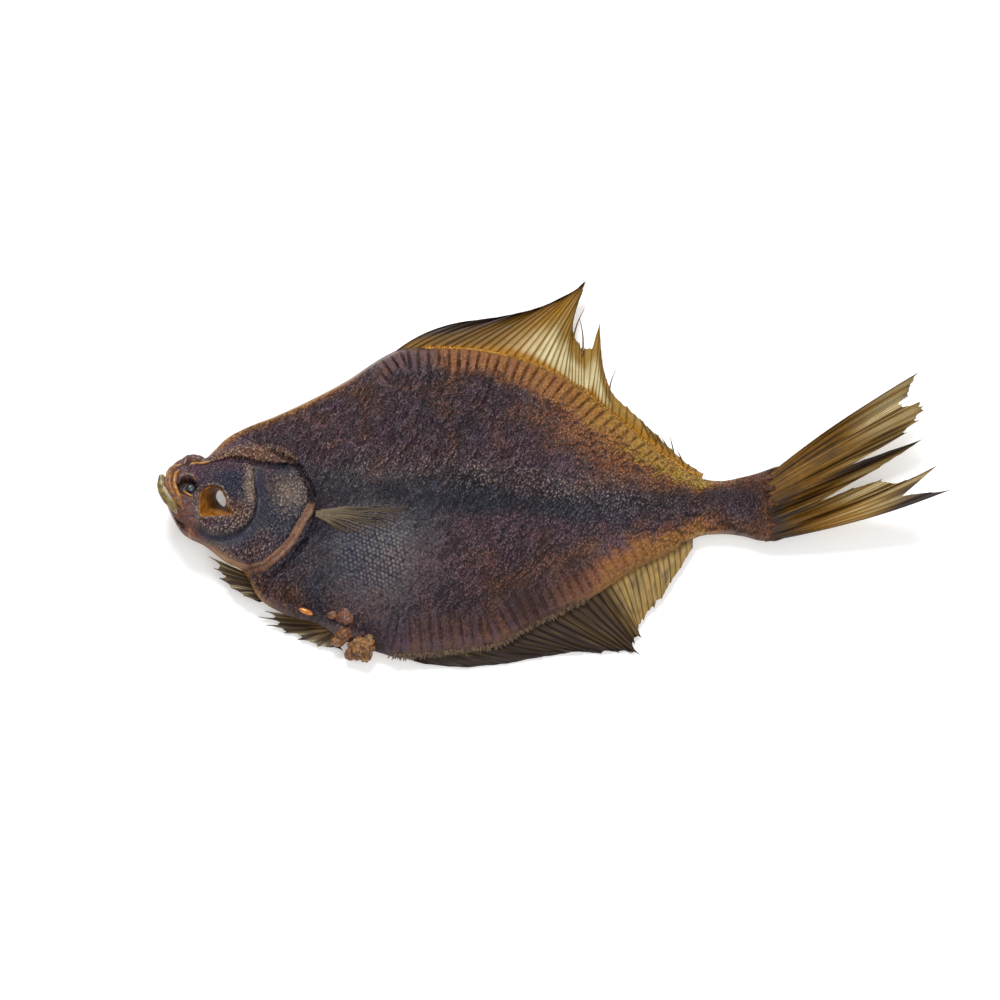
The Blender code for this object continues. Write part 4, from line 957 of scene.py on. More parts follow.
def swept(path, half_width, half_height, around, samples, smooth=True):
    """A tube of oval sections along a path of (x, y, z) points: rings x points round x 3."""
    path = np.array(path, float)
    knots = np.concatenate([[0], np.cumsum(np.linalg.norm(np.diff(path, axis=0), axis=1))])
    at = np.linspace(0, knots[-1], samples)
    line = np.stack([through(list(zip(knots, path[:, k])), at) for k in range(3)], axis=-1)
    way = np.gradient(line, axis=0)
    side = np.stack([way[:, 1], -way[:, 0], 0 * way[:, 0]], axis=-1)
    side /= np.maximum(np.linalg.norm(side, axis=-1, keepdims=True), 1e-9)
    up = np.cross(side, way)
    up /= np.maximum(np.linalg.norm(up, axis=-1, keepdims=True), 1e-9)
    angle = np.linspace(0, 2 * math.pi, around, endpoint=False)[None, :, None]
    wide = np.interp(at / knots[-1], np.linspace(0, 1, len(half_width)), half_width)[:, None, None]
    high = np.interp(at / knots[-1], np.linspace(0, 1, len(half_height)), half_height)[:, None, None]
    return line[:, None] + side[:, None] * np.cos(angle) * wide + up[:, None] * np.sin(angle) * high


def ball(centre, size, rings, around, bumps, seed):
    """A closed lump: a sphere's grid of latitude and longitude pushed in and out by noise."""
    latitude = np.linspace(0.04, math.pi - 0.04, rings)[:, None]
    longitude = np.linspace(0, 2 * math.pi, around, endpoint=False)[None]
    unit = np.stack([np.sin(latitude) * np.cos(longitude), np.sin(latitude) * np.sin(longitude),
                     np.cos(latitude) + 0 * longitude], axis=-1)
    away, crust = 1.0, []
    for size_share, strength in bumps:
        at = unit * np.array(size) / size_share + seed
        value = noise(at[..., 0], at[..., 1], at[..., 2], seed=seed)
        away = away + strength * value
        crust.append(value)
    return np.array(centre) + unit * np.array(size) * away[..., None], crust[-1]


def node(tree, kind, inputs=None, **settings):
    """Adds one shader node, sets its properties and fills its inputs with values or links."""
    made = tree.nodes.new(kind)
    for key, value in settings.items():
        setattr(made, key, value)
    for key, value in (inputs or {}).items():
        if isinstance(value, bpy.types.NodeSocket):
            tree.links.new(value, made.inputs[key])
        else:
            made.inputs[key].default_value = value
    return made


def blank_material(name, **constants):
    """A material with one Principled shader whose plain sockets are set to constants."""
    material = bpy.data.materials.new(name)
    material.use_nodes = True
    shader = material.node_tree.nodes["Principled BSDF"]
    for key, value in constants.items():
        shader.inputs[key.replace("_", " ")].default_value = value
    return material, material.node_tree, shader


def rgba(value):
    return (*value[:3], 1.0)


def mixed(tree, share, first, second, blend="MIX"):
    """The colour output of a Mix node from first to second by share."""
    made = node(tree, "ShaderNodeMix", data_type="RGBA", blend_type=blend)
    for socket, value in ((0, share), (6, first), (7, second)):
        if isinstance(value, bpy.types.NodeSocket):
            tree.links.new(value, made.inputs[socket])
        else:
            made.inputs[socket].default_value = value
    return made.outputs[2]


SLANT = 0.95  # direction in radians that the grains are drawn out along


def skin_material(name, stops, slate, pale_grain_and_highlight, settings):
    """Smoked fish skin: dried to a leathery film over oil, so it is dark, a little glossy and grainy.

    The eye sees purple brown turning to rust and gold where the skin is thin over the fins and bluish
    slate on the belly. The grain tips are pale, partly from their own horn and partly from painted
    highlight; painted light lies on the grains' domes and painted shade in the near-black gaps between
    them and in the folds' valleys.
    """
    material, tree, shader = blank_material(name, Coat_Weight=0.12, Coat_Roughness=0.2, IOR=1.45,
                                            Specular_IOR_Level=0.2)
    place = node(tree, "ShaderNodeTexCoord").outputs["Object"]
    share = {key: node(tree, "ShaderNodeAttribute", attribute_name=key).outputs["Fac"]
             for key in ("warm", "slate", "pale_grain_and_highlight", "dark_spots_and_shade", "rough", "fold")}
    # Blotches of 3 mm and specks of 0.5 mm shift the colour.
    blotch = node(tree, "ShaderNodeTexNoise", {"Vector": place, "Scale": 1 / (3 * MM), "Detail": 5.0})
    speck = node(tree, "ShaderNodeTexNoise", {"Vector": place, "Scale": 1 / (0.5 * MM), "Detail": 2.0})
    # Horny grains 0.85 mm apart, bent and drawn out along a slant, each with its own paleness.
    bend = node(tree, "ShaderNodeTexNoise", {"Vector": place, "Scale": 1 / (1.8 * MM), "Detail": 2.0})
    bend = node(tree, "ShaderNodeVectorMath", {0: bend.outputs["Color"], 1: (1.3 * MM,) * 3, 2: place},
                operation="MULTIPLY_ADD")
    slant = node(tree, "ShaderNodeMapping", {"Vector": bend.outputs[0], "Rotation": (0, 0, SLANT),
                                             "Scale": (1.5, 0.87, 1.0)}, vector_type="TEXTURE")
    cell = node(tree, "ShaderNodeTexVoronoi", {"Vector": slant.outputs[0], "Scale": 1 / (0.85 * MM),
                                               "Randomness": 1.0}, voronoi_dimensions="2D")
    own = node(tree, "ShaderNodeSeparateColor", {"Color": cell.outputs["Color"]}).outputs[0]
    tip = node(tree, "ShaderNodeMapRange", {"Value": cell.outputs["Distance"], "From Min": 0.1, "From Max": 0.52,
                                            "To Min": 1.0, "To Max": 0.0}, interpolation_type="SMOOTHSTEP")
    gap = node(tree, "ShaderNodeMapRange", {"Value": cell.outputs["Distance"], "From Min": 0.4, "From Max": 0.7},
               interpolation_type="SMOOTHSTEP")
    shifted = node(tree, "ShaderNodeMath", {0: blotch.outputs["Fac"], 1: -0.5}, operation="ADD")
    shifted = node(tree, "ShaderNodeMath", {0: shifted.outputs[0], 1: 0.24, 2: share["warm"]},
                   operation="MULTIPLY_ADD")
    ramp = node(tree, "ShaderNodeValToRGB", {"Fac": shifted.outputs[0]})
    elements = ramp.color_ramp.elements
    elements[0].position, elements[0].color = stops[0][0], rgba(stops[0][1])
    elements[1].position, elements[1].color = stops[-1][0], rgba(stops[-1][1])
    for position, value in stops[1:-1]:
        elements.new(position).color = rgba(value)
    base = mixed(tree, share["slate"], ramp.outputs["Color"], rgba(slate))
    light = node(tree, "ShaderNodeMapRange", {"Value": speck.outputs["Fac"], "From Min": 0.3, "From Max": 0.7,
                                              "To Min": 0.68, "To Max": 1.35})
    tone = node(tree, "ShaderNodeCombineColor", {0: light.outputs[0], 1: light.outputs[0], 2: light.outputs[0]})
    base = mixed(tree, 1.0, base, tone.outputs[0], "MULTIPLY")
    # Folds 1.4 mm apart and 6 mm long run along the slant; their valleys get painted shade.
    drawn = node(tree, "ShaderNodeMapping", {"Vector": bend.outputs[0], "Rotation": (0, 0, SLANT),
                                             "Scale": (4.0, 1.0, 1.0)}, vector_type="TEXTURE")
    drawn = node(tree, "ShaderNodeTexNoise", {"Vector": drawn.outputs[0], "Scale": 1 / (1.4 * MM), "Detail": 1.5})
    crest = node(tree, "ShaderNodeMapRange", {"Value": drawn.outputs["Fac"], "From Min": 0.4, "From Max": 0.6},
                 interpolation_type="SMOOTHSTEP")
    crest = node(tree, "ShaderNodeMath", {0: crest.outputs[0], 1: share["fold"]}, operation="MULTIPLY")
    crest = node(tree, "ShaderNodeMath", {0: crest.outputs[0], 1: share["fold"]}, operation="SUBTRACT")
    # Painted light and shade: each grain's dome is lit up, by its own share, over the gaps between the grains, which
    # are darkened.
    lit = node(tree, "ShaderNodeMath", {0: own, 1: 0.6, 2: 0.55}, operation="MULTIPLY_ADD")
    lit = node(tree, "ShaderNodeMath", {0: lit.outputs[0], 1: tip.outputs[0]}, operation="MULTIPLY")
    lit = node(tree, "ShaderNodeMath", {0: lit.outputs[0], 1: -0.35}, operation="ADD")
    lit = node(tree, "ShaderNodeMath", {0: lit.outputs[0], 1: share["rough"], 2: 1.0}, operation="MULTIPLY_ADD")
    tone = node(tree, "ShaderNodeCombineColor", {0: lit.outputs[0], 1: lit.outputs[0], 2: lit.outputs[0]})
    base = mixed(tree, 1.0, base, tone.outputs[0], "MULTIPLY")
    # Pale tips, partly the grains' own horn and partly painted highlight: the grain's own share squared, faded to even
    # where the skin is smooth.
    squared = node(tree, "ShaderNodeMath", {0: own, 1: own}, operation="MULTIPLY")
    bright = node(tree, "ShaderNodeMath", {0: squared.outputs[0], 1: 1.25, 2: 0.22}, operation="MULTIPLY_ADD")
    bright = node(tree, "ShaderNodeMath", {0: bright.outputs[0], 1: tip.outputs[0]}, operation="MULTIPLY")
    less = node(tree, "ShaderNodeMath", {0: bright.outputs[0], 1: -1.0}, operation="ADD")
    faded = node(tree, "ShaderNodeMath", {0: less.outputs[0], 1: share["rough"], 2: 1.0}, operation="MULTIPLY_ADD")
    pale = node(tree, "ShaderNodeMath", {0: faded.outputs[0], 1: share["pale_grain_and_highlight"]}, operation="MULTIPLY")
    tips = mixed(tree, 0.35, rgba(pale_grain_and_highlight), ramp.outputs["Color"])
    base = mixed(tree, pale.outputs[0], base, tips)
    # Painted shade: the gaps between grains, the dark share and the folds' valleys darken the colour towards a
    # near-black tone.
    spots_and_shade = node(tree, "ShaderNodeMath", {0: gap.outputs[0], 1: share["rough"]}, operation="MULTIPLY")
    spots_and_shade = node(tree, "ShaderNodeMath", {0: spots_and_shade.outputs[0], 1: 0.62, 2: share["dark_spots_and_shade"]}, operation="MULTIPLY_ADD")
    spots_and_shade = node(tree, "ShaderNodeMath", {0: crest.outputs[0], 1: -0.75, 2: spots_and_shade.outputs[0]}, operation="MULTIPLY_ADD",
                use_clamp=True)
    spots_and_shade = node(tree, "ShaderNodeMath", {0: spots_and_shade.outputs[0], 1: 0.8}, operation="MULTIPLY")
    dark = mixed(tree, 1.0, base, rgba((0.14, 0.11, 0.13)), "MULTIPLY")
    base = mixed(tree, spots_and_shade.outputs[0], base, dark)
    tree.links.new(base, shader.inputs["Base Color"])
    gloss = node(tree, "ShaderNodeMapRange", {"Value": blotch.outputs["Fac"], "From Min": 0.3, "From Max": 0.7,
                                              "To Min": 0.36, "To Max": 0.56})
    tree.links.new(gloss.outputs[0], shader.inputs["Roughness"])
    # The grains stand 0.2 mm out, over pores of 0.35 mm.
    pores = node(tree, "ShaderNodeTexNoise", {"Vector": place, "Scale": 1 / (0.35 * MM), "Detail": 2.0})
    raised = node(tree, "ShaderNodeMath", {0: tip.outputs[0], 1: share["rough"]}, operation="MULTIPLY")
    bump = node(tree, "ShaderNodeBump", {"Height": raised.outputs[0], "Strength": 1.0, "Distance": 0.26 * MM})
    bump = node(tree, "ShaderNodeBump", {"Height": pores.outputs["Fac"], "Strength": 0.5,
                                         "Distance": 0.12 * MM, "Normal": bump.outputs["Normal"]})
    bump = node(tree, "ShaderNodeBump", {"Height": crest.outputs[0], "Strength": 1.0, "Distance": 0.38 * MM,
                                         "Normal": bump.outputs["Normal"]})
    tree.links.new(bump.outputs["Normal"], shader.inputs["Normal"])
    tree.links.new(bump.outputs["Normal"], shader.inputs["Coat Normal"])
    return material


def eyed_material(settings):
    stops = ((0.0, settings.purple), (0.22, settings.brown), (0.48, settings.rust), (0.72, settings.amber),
             (1.0, settings.gold))
    return skin_material("smoked_skin_eyed_side", stops, settings.slate, settings.pale_grain_and_highlight, settings)


def fin_material(name, settings, web_colour):
    """Dried fin: horn-like rays in a web as thin as parchment, glossy from the smoke's oil."""
    material, tree, shader = blank_material(name, Coat_Weight=0.05, Coat_Roughness=0.3, IOR=1.48,
                                            Roughness=0.5, Specular_IOR_Level=0.25)
    place = node(tree, "ShaderNodeTexCoord").outputs["Object"]
    share = {key: node(tree, "ShaderNodeAttribute", attribute_name=key).outputs["Fac"]
             for key in ("ray", "pale", "shade", "warm")}
    blotch = node(tree, "ShaderNodeTexNoise", {"Vector": place, "Scale": 1 / (3.0 * MM), "Detail": 4.0})
    vary = node(tree, "ShaderNodeMapRange", {"Value": blotch.outputs["Fac"], "From Min": 0.35, "From Max": 0.65,
                                             "To Min": 0.0, "To Max": 1.0})
    web = mixed(tree, share["pale"], rgba(web_colour), rgba(settings.cream))
    web = mixed(tree, share["warm"], web, rgba(linear("#a5741c")))
    streak = mixed(tree, 1.0, web, rgba((0.62, 0.55, 0.42)), "MULTIPLY")
    web = mixed(tree, vary.outputs[0], web, mixed(tree, 0.45, web, streak))
    rays = mixed(tree, vary.outputs[0], rgba(settings.ray), rgba(linear("#86601e")))
    base = mixed(tree, share["ray"], web, rays)
    base = mixed(tree, share["shade"], base, rgba(settings.smoke))
    tree.links.new(base, shader.inputs["Base Color"])
    fibre = node(tree, "ShaderNodeTexNoise", {"Vector": place, "Scale": 1 / (0.5 * MM), "Detail": 3.0})
    bump = node(tree, "ShaderNodeBump", {"Height": fibre.outputs["Fac"], "Strength": 0.45,
                                         "Distance": 0.12 * MM})
    tree.links.new(bump.outputs["Normal"], shader.inputs["Normal"])
    return material


def horn_material(name, first, second, size, roughness, bump_height, coat=0.15):
    """Dried gristle, horn or crust: two tones in noise of the given size, with a bump of its own."""
    material, tree, shader = blank_material(name, Roughness=roughness, Coat_Weight=coat, Coat_Roughness=0.25,
                                            IOR=1.5)
    place = node(tree, "ShaderNodeTexCoord").outputs["Object"]
    blotch = node(tree, "ShaderNodeTexNoise", {"Vector": place, "Scale": 1 / size, "Detail": 4.0})
    share = node(tree, "ShaderNodeMapRange", {"Value": blotch.outputs["Fac"], "From Min": 0.38, "From Max": 0.62})
    base = mixed(tree, share.outputs[0], rgba(first), rgba(second))
    tree.links.new(base, shader.inputs["Base Color"])
    fine = node(tree, "ShaderNodeTexNoise", {"Vector": place, "Scale": 2.5 / size, "Detail": 3.0})
    bump = node(tree, "ShaderNodeBump", {"Height": fine.outputs["Fac"], "Strength": 0.6, "Distance": bump_height})
    tree.links.new(bump.outputs["Normal"], shader.inputs["Normal"])
    return material


class FLOUNDER_OT_eyed_skin(bpy.types.Operator):
    """Builds the eyed side of the skin in three stretches and opens the empty socket"""

    bl_idname = "flounder.eyed_skin"
    bl_label = "Eyed skin"

    def execute(self, context):
        settings = context.scene.flounder_skin
        material = eyed_material(settings)
        head = skin_loft("head_skin", BODY_START, SHOULDER + MEETING, 235, 300, eyed_skin, settings,
                         material)
        cut_socket(head)
        skin_loft("shoulder_skin", SHOULDER - MEETING, WAIST + MEETING, 215, 360, eyed_skin, settings,
                  material, TUCK)
        skin_loft("trunk_skin", WAIST - MEETING, TAIL_SKIN_END, 300, 300, eyed_skin, settings, material, TUCK)
        return {"FINISHED"}


class FLOUNDER_OT_blind_skin(bpy.types.Operator):
    """Builds the blind side of the skin, on which the fish lies"""

    bl_idname = "flounder.blind_skin"
    bl_label = "Blind skin"

    def execute(self, context):
        settings = context.scene.flounder_skin
        stops = ((0.0, linear("#6a4c30")), (0.5, settings.blind), (1.0, settings.amber))
        material = skin_material("smoked_skin_blind_side", stops, settings.slate, linear("#b7a27a"), settings)
        skin = skin_loft("blind_skin", BODY_START, TAIL_SKIN_END, 280, 120, blind_skin, settings, material)
        cut_socket(skin)
        return {"FINISHED"}


class FLOUNDER_OT_long_fins(bpy.types.Operator):
    """Builds the back fin and the belly fin as pleated sheets"""

    bl_idname = "flounder.long_fins"
    bl_label = "Long fins"

    def execute(self, context):
        settings = context.scene.flounder_fins
        material = fin_material("dried_fin", settings, settings.olive)
        for name, rim, tips, heights, inward, looks, seed in (
                ("back_fin", BACK_RIM, BACK_TIPS, BACK_TIP_HEIGHTS, 1, back_looks, 1),
                ("belly_fin", BELLY_RIM, BELLY_TIPS, BELLY_TIP_HEIGHTS, -1, belly_looks, 2)):
            root_x, tip_x, tip_y, webs, bow = np.array(tips).T
            root_y = through(rim, root_x) - inward * FIN_ROOT_DEPTH
            roots = np.stack([root_x, root_y, MARGIN_HEIGHT + lift(root_x)], axis=-1)
            ends = np.stack([tip_x, tip_y, np.interp(root_x, *np.array(heights).T)], axis=-1)
            bows = inward * np.stack([bow * (root_y - tip_y), bow * (tip_x - root_x), 0 * bow], axis=-1)
            fin_sheet(name, bow_points(roots, ends, bows), webs[:-1], 2, 46, looks, settings, material, seed=seed)
        bent_spines(settings, material)
        return {"FINISHED"}


def back_looks(place, reach, x, y):
    """Shares of the back fin: golden roots, cream panels low in the middle, black front edge and tips."""
    ray = place * (len(BACK_TIPS) - 1)
    middle, rear = rise(ray, 3.8, 6.4), rise(ray, 11.5, 14.5)
    reached = np.interp(ray, (4, 8, 12, 15, 22), (0.34, 0.42, 0.5, 0.62, 0.4))
    uneven = 0.08 * noise(ray * 1.9, seed=71)
    panel = rise(reach, 0.08, 0.13) * (1 - rise(reach + uneven, reached - 0.1, reached + 0.16))
    gilt = rise(ray, 14.5, 18.0)
    pale = middle * (0.9 * panel * (1 - gilt) + 0.1 * (1 - panel)) + 0.1 * noise(ray * 2.3, 3 * reach, seed=72)
    edge = rise(y - (61.2 + (x - 97) * 0.175 + 0.0028 * (x - 97) ** 2), -3.2, 0.6) * (1 - rise(x, 146, 150))
    tip = rise(reach, 0.8, 1.0) * (1 - 0.5 * rear)
    streak = 0.5 + 0.5 * noise(ray * 5.1, 4 * reach, seed=75)
    front = (1 - rise(ray, 3.4, 6.4)) * rise(reach, 0.06, 0.2) * (0.35 + 0.6 * streak)
    smoky = rise(noise(ray * 1.4, 2.5 * reach, seed=73), 0.1, 0.8) * rise(reach, 0.45, 0.7) * 0.3
    shade = np.clip((0.4 + 0.4 * streak) * edge + 0.6 * tip + 0.75 * front + smoky, 0, 1)
    root = np.interp(ray, (0, 12, 16, 20), (0.14, 0.15, 0.3, 0.8))
    warm = 1 - rise(reach, 0.5 * root, 1.2 * root) + 0.35 * rise(reach, 0.4, 0.7) + 0.6 * (1 - rise(ray, 5, 8))
    return {"pale": np.clip(pale, 0, 1), "shade": shade, "warm": np.clip(warm, 0, 1)}


def belly_looks(place, reach, x, y):
    """Shares of the belly fin: blackish folded front rays, dark olive middle and tan rear webs."""
    ray = place * (len(BELLY_TIPS) - 1)
    streak = 0.5 + 0.5 * noise(ray * 8.3, 3 * reach, seed=76)
    rear = rise(ray, 10.0, 12.0)
    pale = rear * (0.34 - 0.16 * rise(reach, 0.5, 1.0)) + 0.3 * (streak - 0.4) * rise(ray, 5, 8)
    front = 1 - rise(ray, 6.0, 9.0)
    mottle = rear * rise(noise(ray * 2.3, 9 * reach, seed=77), 0.0, 0.8)
    shade = 0.97 * front + (1 - rear) * (1 - front) * (0.84 + 0.16 * streak) + 0.3 * rise(reach, 0.85, 1.0)
    shade = shade + 0.25 * mottle - 0.25 * (1 - rear) * rise(1 - streak, 0.7, 0.95)
    shade = np.clip(shade + 0.45 * rear * rise(streak, 0.5, 0.9), 0, 1) * (0.65 + 0.35 * rise(reach, 0.02, 0.08))
    warm = (1 - rise(reach, 0.03, 0.12)) * rise(ray, 7.5, 9.5) + 0.25 * rear
    return {"pale": np.clip(pale, 0, 1), "shade": shade, "warm": warm}


def tail_looks(place, reach, x, y):
    """Shares of the tail: rusty root, olive gold rays and dark ray bundles at the splits."""
    uneven = 0.07 * noise(place * 11, 4 * reach, seed=82)
    root = 1 - rise(reach + uneven, 0.1, 0.3)
    low = rise(place, 0.25, 0.6)
    streak = 0.5 + 0.5 * noise(place * 66, 2.5 * reach, seed=83)
    bundle = ridge(place - 0.465, 0.035) * rise(reach, 0.25, 0.6) + ridge(place - 0.99, 0.05) * rise(reach, 0.5, 0.9)
    bundle = bundle + ridge(place, 0.02) * rise(reach, 0.3, 0.8) * 0.4 + ridge(place - 0.11, 0.016) * 0.5
    pale = np.clip((0.3 + 0.3 * rise(reach, 0.4, 0.8)) * (1 - 0.5 * low) + 1.6 * (streak - 0.5), 0, 1)
    pale = pale * rise(reach, 0.15, 0.4)
    shade = root * (0.34 + 0.3 * low) + 0.85 * bundle + 0.3 * rise(reach, 0.93, 1.0)
    shade = shade + 0.75 * rise(1 - streak, 0.5, 0.95) * (1 - 0.65 * root) + 0.25 * low * (1 - rise(reach, 0.3, 0.6))
    return {"pale": pale, "shade": np.clip(shade, 0, 1), "warm": np.clip(0.2 + 0.75 * (1 - rise(reach, 0.2, 0.75)), 0, 1)}


def dusky_looks(place, reach, x, y):
    """Shares of the small fins: tan rays in a grey brown web with black tips."""
    streak = noise(place * 22, 2 * reach, seed=84)
    return {"pale": np.clip(0.15 + 0.5 * streak, 0, 1),
            "shade": np.clip(0.3 + 0.4 * rise(reach, 0.8, 1.0) - 0.4 * streak, 0, 1),
            "warm": 0 * streak}


class FLOUNDER_OT_tail_fin(bpy.types.Operator):
    """Builds the split tail fin"""

    bl_idname = "flounder.tail_fin"
    bl_label = "Tail fin"

    def execute(self, context):
        settings = context.scene.flounder_fins
        tips = np.array(TAIL_TIPS)
        share = np.linspace(0, 1, len(tips))
        roots = np.stack([TAIL_ROOT_X + 0 * share, TAIL_ROOT_TOP + (TAIL_ROOT_BOTTOM - TAIL_ROOT_TOP) * share,
                          MARGIN_HEIGHT + lift(TAIL_ROOT_X + 0 * share)], axis=-1)
        ends = np.stack([tips[:, 0], tips[:, 1], MARGIN_HEIGHT + lift(tips[:, 0])], axis=-1)
        bows = np.stack([0 * share, 4.4 - 7.6 * share, 0 * share - 1.9], axis=-1)
        fin_sheet("tail_fin", bow_points(roots, ends, bows), tips[:-1, 2], 5, 56, tail_looks, settings,
                  fin_material("dried_tail_fin", settings, settings.olive), thick=0.8, ragged=0.012, seed=3,
                  per_ray=6)
        return {"FINISHED"}


class FLOUNDER_OT_small_fins(bpy.types.Operator):
    """Builds the side fin that has dried onto the skin, the pelvic fin and the fin under the head"""

    bl_idname = "flounder.small_fins"
    bl_label = "Small fins"

    def side_fin(self, skin, settings, material):
        """Rays of the side fin: half-round strands over the skin, fanned from one root and thinning out."""
        order = (np.arange(PECTORAL_RAYS) + 0.5 * scatter([np.arange(PECTORAL_RAYS)], 97)) / PECTORAL_RAYS
        long = np.interp(order, *np.array(PECTORAL_REACH).T)[:, None]
        turn = np.interp(order, *np.array(PECTORAL_TURN).T)[:, None]
        s = np.linspace(0, 1, 44)[None]
        bend = turn - 0.14 * s + 0.03 * noise(6 * s, 9 * order[:, None], seed=98)
        x = PECTORAL_ROOT[0] + long * s * np.cos(bend)
        y = PECTORAL_ROOT[1] - 1.6 * order[:, None] + long * s * np.sin(bend)
        z = eyed_skin(x, y, skin)[0]
        wide = 0.42 * (1 - 0.6 * s) * (0.7 + 0.6 * scatter([np.arange(PECTORAL_RAYS)], 96)[:, None])
        angle = np.linspace(0, 2 * math.pi, 8, endpoint=False)
        grid = np.stack([x[..., None] - np.sin(bend)[..., None] * np.cos(angle) * wide[..., None],
                         y[..., None] + np.cos(bend)[..., None] * np.cos(angle) * wide[..., None],
                         (z + 0.1)[..., None] + np.sin(angle) * wide[..., None]], axis=-1)
        streak = noise(5 * s, 7 * order[:, None], seed=99)[..., None]
        shade = np.clip(0.42 + 0.42 * s[..., None] + 0.35 * streak, 0, 1)
        closed_tubes("side_fin", grid, {"ray": 0.25 + 0 * shade, "pale": 0.3 + 0.3 * streak, "shade": shade,
                                        "warm": 0 * shade}, material)

    def execute(self, context):
        settings = context.scene.flounder_fins
        material = fin_material("dried_small_fin", settings, settings.dusky)
        self.side_fin(context.scene.flounder_skin, settings, material)
        for name, root, spread, heights, rows, seed in (
                ("pelvic_fin", PELVIC_ROOT, PELVIC_SPREAD, PELVIC_HEIGHTS, PELVIC_TIPS, 5),
                ("blind_side_fin", BLIND_FIN_ROOT, BLIND_FIN_SPREAD, BLIND_FIN_HEIGHTS, BLIND_FIN_TIPS, 6)):
            tips = np.array(rows)
            share = np.linspace(0.5, -0.5, len(tips))
            roots = np.stack([root[0] + 0 * share, root[1] + share * spread, heights[0] + 0 * share], axis=-1)
            ends = np.stack([tips[:, 0], tips[:, 1], heights[1] + 0 * share], axis=-1)
            fin_sheet(name, bow_points(roots, ends, 0 * ends), tips[:-1, 2], 3, 36, dusky_looks, settings,
                      material, thick=0.8, ragged=0.03, seed=seed)
        return {"FINISHED"}


class FLOUNDER_OT_head_parts(bpy.types.Operator):
    """Builds the jaw blade, the folds of the lips and lids, the shrunk eye and the socket's lining"""

    bl_idname = "flounder.head_parts"
    bl_label = "Head parts"

    def execute(self, context):
        settings, skin = context.scene.flounder_head, context.scene.flounder_skin
        x, y, height, half_width, half_height = np.array(JAW).T
        path = np.stack([x, y, MARGIN_HEIGHT + float(lift(np.array(2.0))) + height], axis=-1)
        blade = swept(path, half_width, half_height, 24, 60)
        blade[..., 2] += 0.12 * noise(blade[..., 0] / 0.8, blade[..., 1] / 2.2, seed=61)
        closed_tubes("jaw_blade", blade[None], {}, horn_material(
            "dried_jaw_horn", settings.jaw, linear("#5d4c28"), 1.6 * MM, 0.4, 0.2 * MM))
        for k, (line, half, warm) in enumerate(FACE_FOLDS):
            knots = np.array(line)
            z = eyed_skin(knots[:, 0], knots[:, 1], skin)[0]
            z = smooth_eyed(knots[:, 0], knots[:, 1]) * 0.6 + z * 0.4 + 0.1
            sizes = np.array([0.35, 0.9, 1.0, 1.0, 0.9, 0.35]) * half
            fold = swept(np.column_stack([knots, z]), sizes, sizes * 0.9, 14, 60)
            fold = fold + min(0.16 * half, 0.13) * noise(fold[..., 0] / 0.9, fold[..., 1] / 1.8, fold[..., 2], seed=62 + k)[..., None]
            first = settings.lid if warm < 0.2 else linear("#4a2a1c") if warm < 0.4 else settings.lip
            second = linear("#a8722a") if warm > 0.7 else linear("#54301c")
            closed_tubes(f"face_fold_{k + 1}", fold[None], {}, horn_material(
                f"dried_fold_{k + 1}", first, second, 1.5 * MM, 0.42, 0.2 * MM))
        eye_z = float(smooth_eyed(np.array(EYEBALL[0]), np.array(EYEBALL[1]))) - 1.1
        eye, _ = ball((*EYEBALL, eye_z), (EYEBALL_SIZE,) * 3, 28, 36, ((1.2, 0.05),), 7)
        closed_tubes("eyeball", eye[None], {}, horn_material(
            "dried_eye", settings.eye, linear("#3a4146"), 1.4 * MM, 0.12, 0.05 * MM, coat=0.8))
        outline, slit = fine_outline(HIGH_SOCKET), fine_outline(HIGH_SLIT)
        top = eyed_skin(outline[:, 0], outline[:, 1], skin)[0] - 0.75
        share = np.linspace(0, 1, 40)
        inner = loop_tube(outline, slit, top, SOCKET_BOTTOM + 3.0, share, 0.0)
        outer = loop_tube(outline, slit, top, SOCKET_BOTTOM + 2.8, share, settings.lining_thickness / MM)
        wave = 0.45 * noise(inner[..., 0] / 2.0, inner[..., 1] / 2.0, inner[..., 2] / 0.9, seed=66)
        middle = inner[..., :2].mean(axis=1, keepdims=True)
        inner[..., :2] += (middle - inner[..., :2]) * (0.06 * (1 + wave))[..., None]
        ring = np.concatenate([inner, outer[::-1]], axis=0)
        closed_ring("socket_lining", ring, horn_material(
            "socket_lining_membrane", settings.lining, linear("#a06c1c"), 2.2 * MM, 0.5, 0.25 * MM, coat=0.04))
        return {"FINISHED"}


def fine_outline(outline, per=6):
    """A closed outline with more knots, rounded by averaging each with its neighbours."""
    points = np.array(outline, float)
    nxt = np.roll(points, -1, axis=0)
    share = np.arange(per)[None, :, None] / per
    fine = (points[:, None] * (1 - share) + nxt[:, None] * share).reshape(-1, 2)
    for _ in range(3):
        fine = (np.roll(fine, 1, axis=0) + 2 * fine + np.roll(fine, -1, axis=0)) / 4
    return fine


def closed_ring(name, grid, material):
    """A piece closed both ways, like a thick ring: its grid wraps round in both directions."""
    rings, around, _ = grid.shape
    index = np.arange(rings * around).reshape(rings, around)
    down, along = np.roll(index, -1, axis=0), np.roll(index, -1, axis=1)
    quads = np.stack([index, along, np.roll(down, -1, axis=1), down], axis=-1).reshape(-1, 4)
    points = to_row(grid)
    a, b, c, d = (points[quads[:, k]] for k in range(4))
    if np.einsum("ij,ij->", a, np.cross(b, c)) + np.einsum("ij,ij->", a, np.cross(c, d)) < 0:
        quads = quads[:, ::-1]
    mesh = bpy.data.meshes.new(name)
    mesh.from_pydata(points.tolist(), [], quads.tolist())
    return dressed(name, mesh, material)


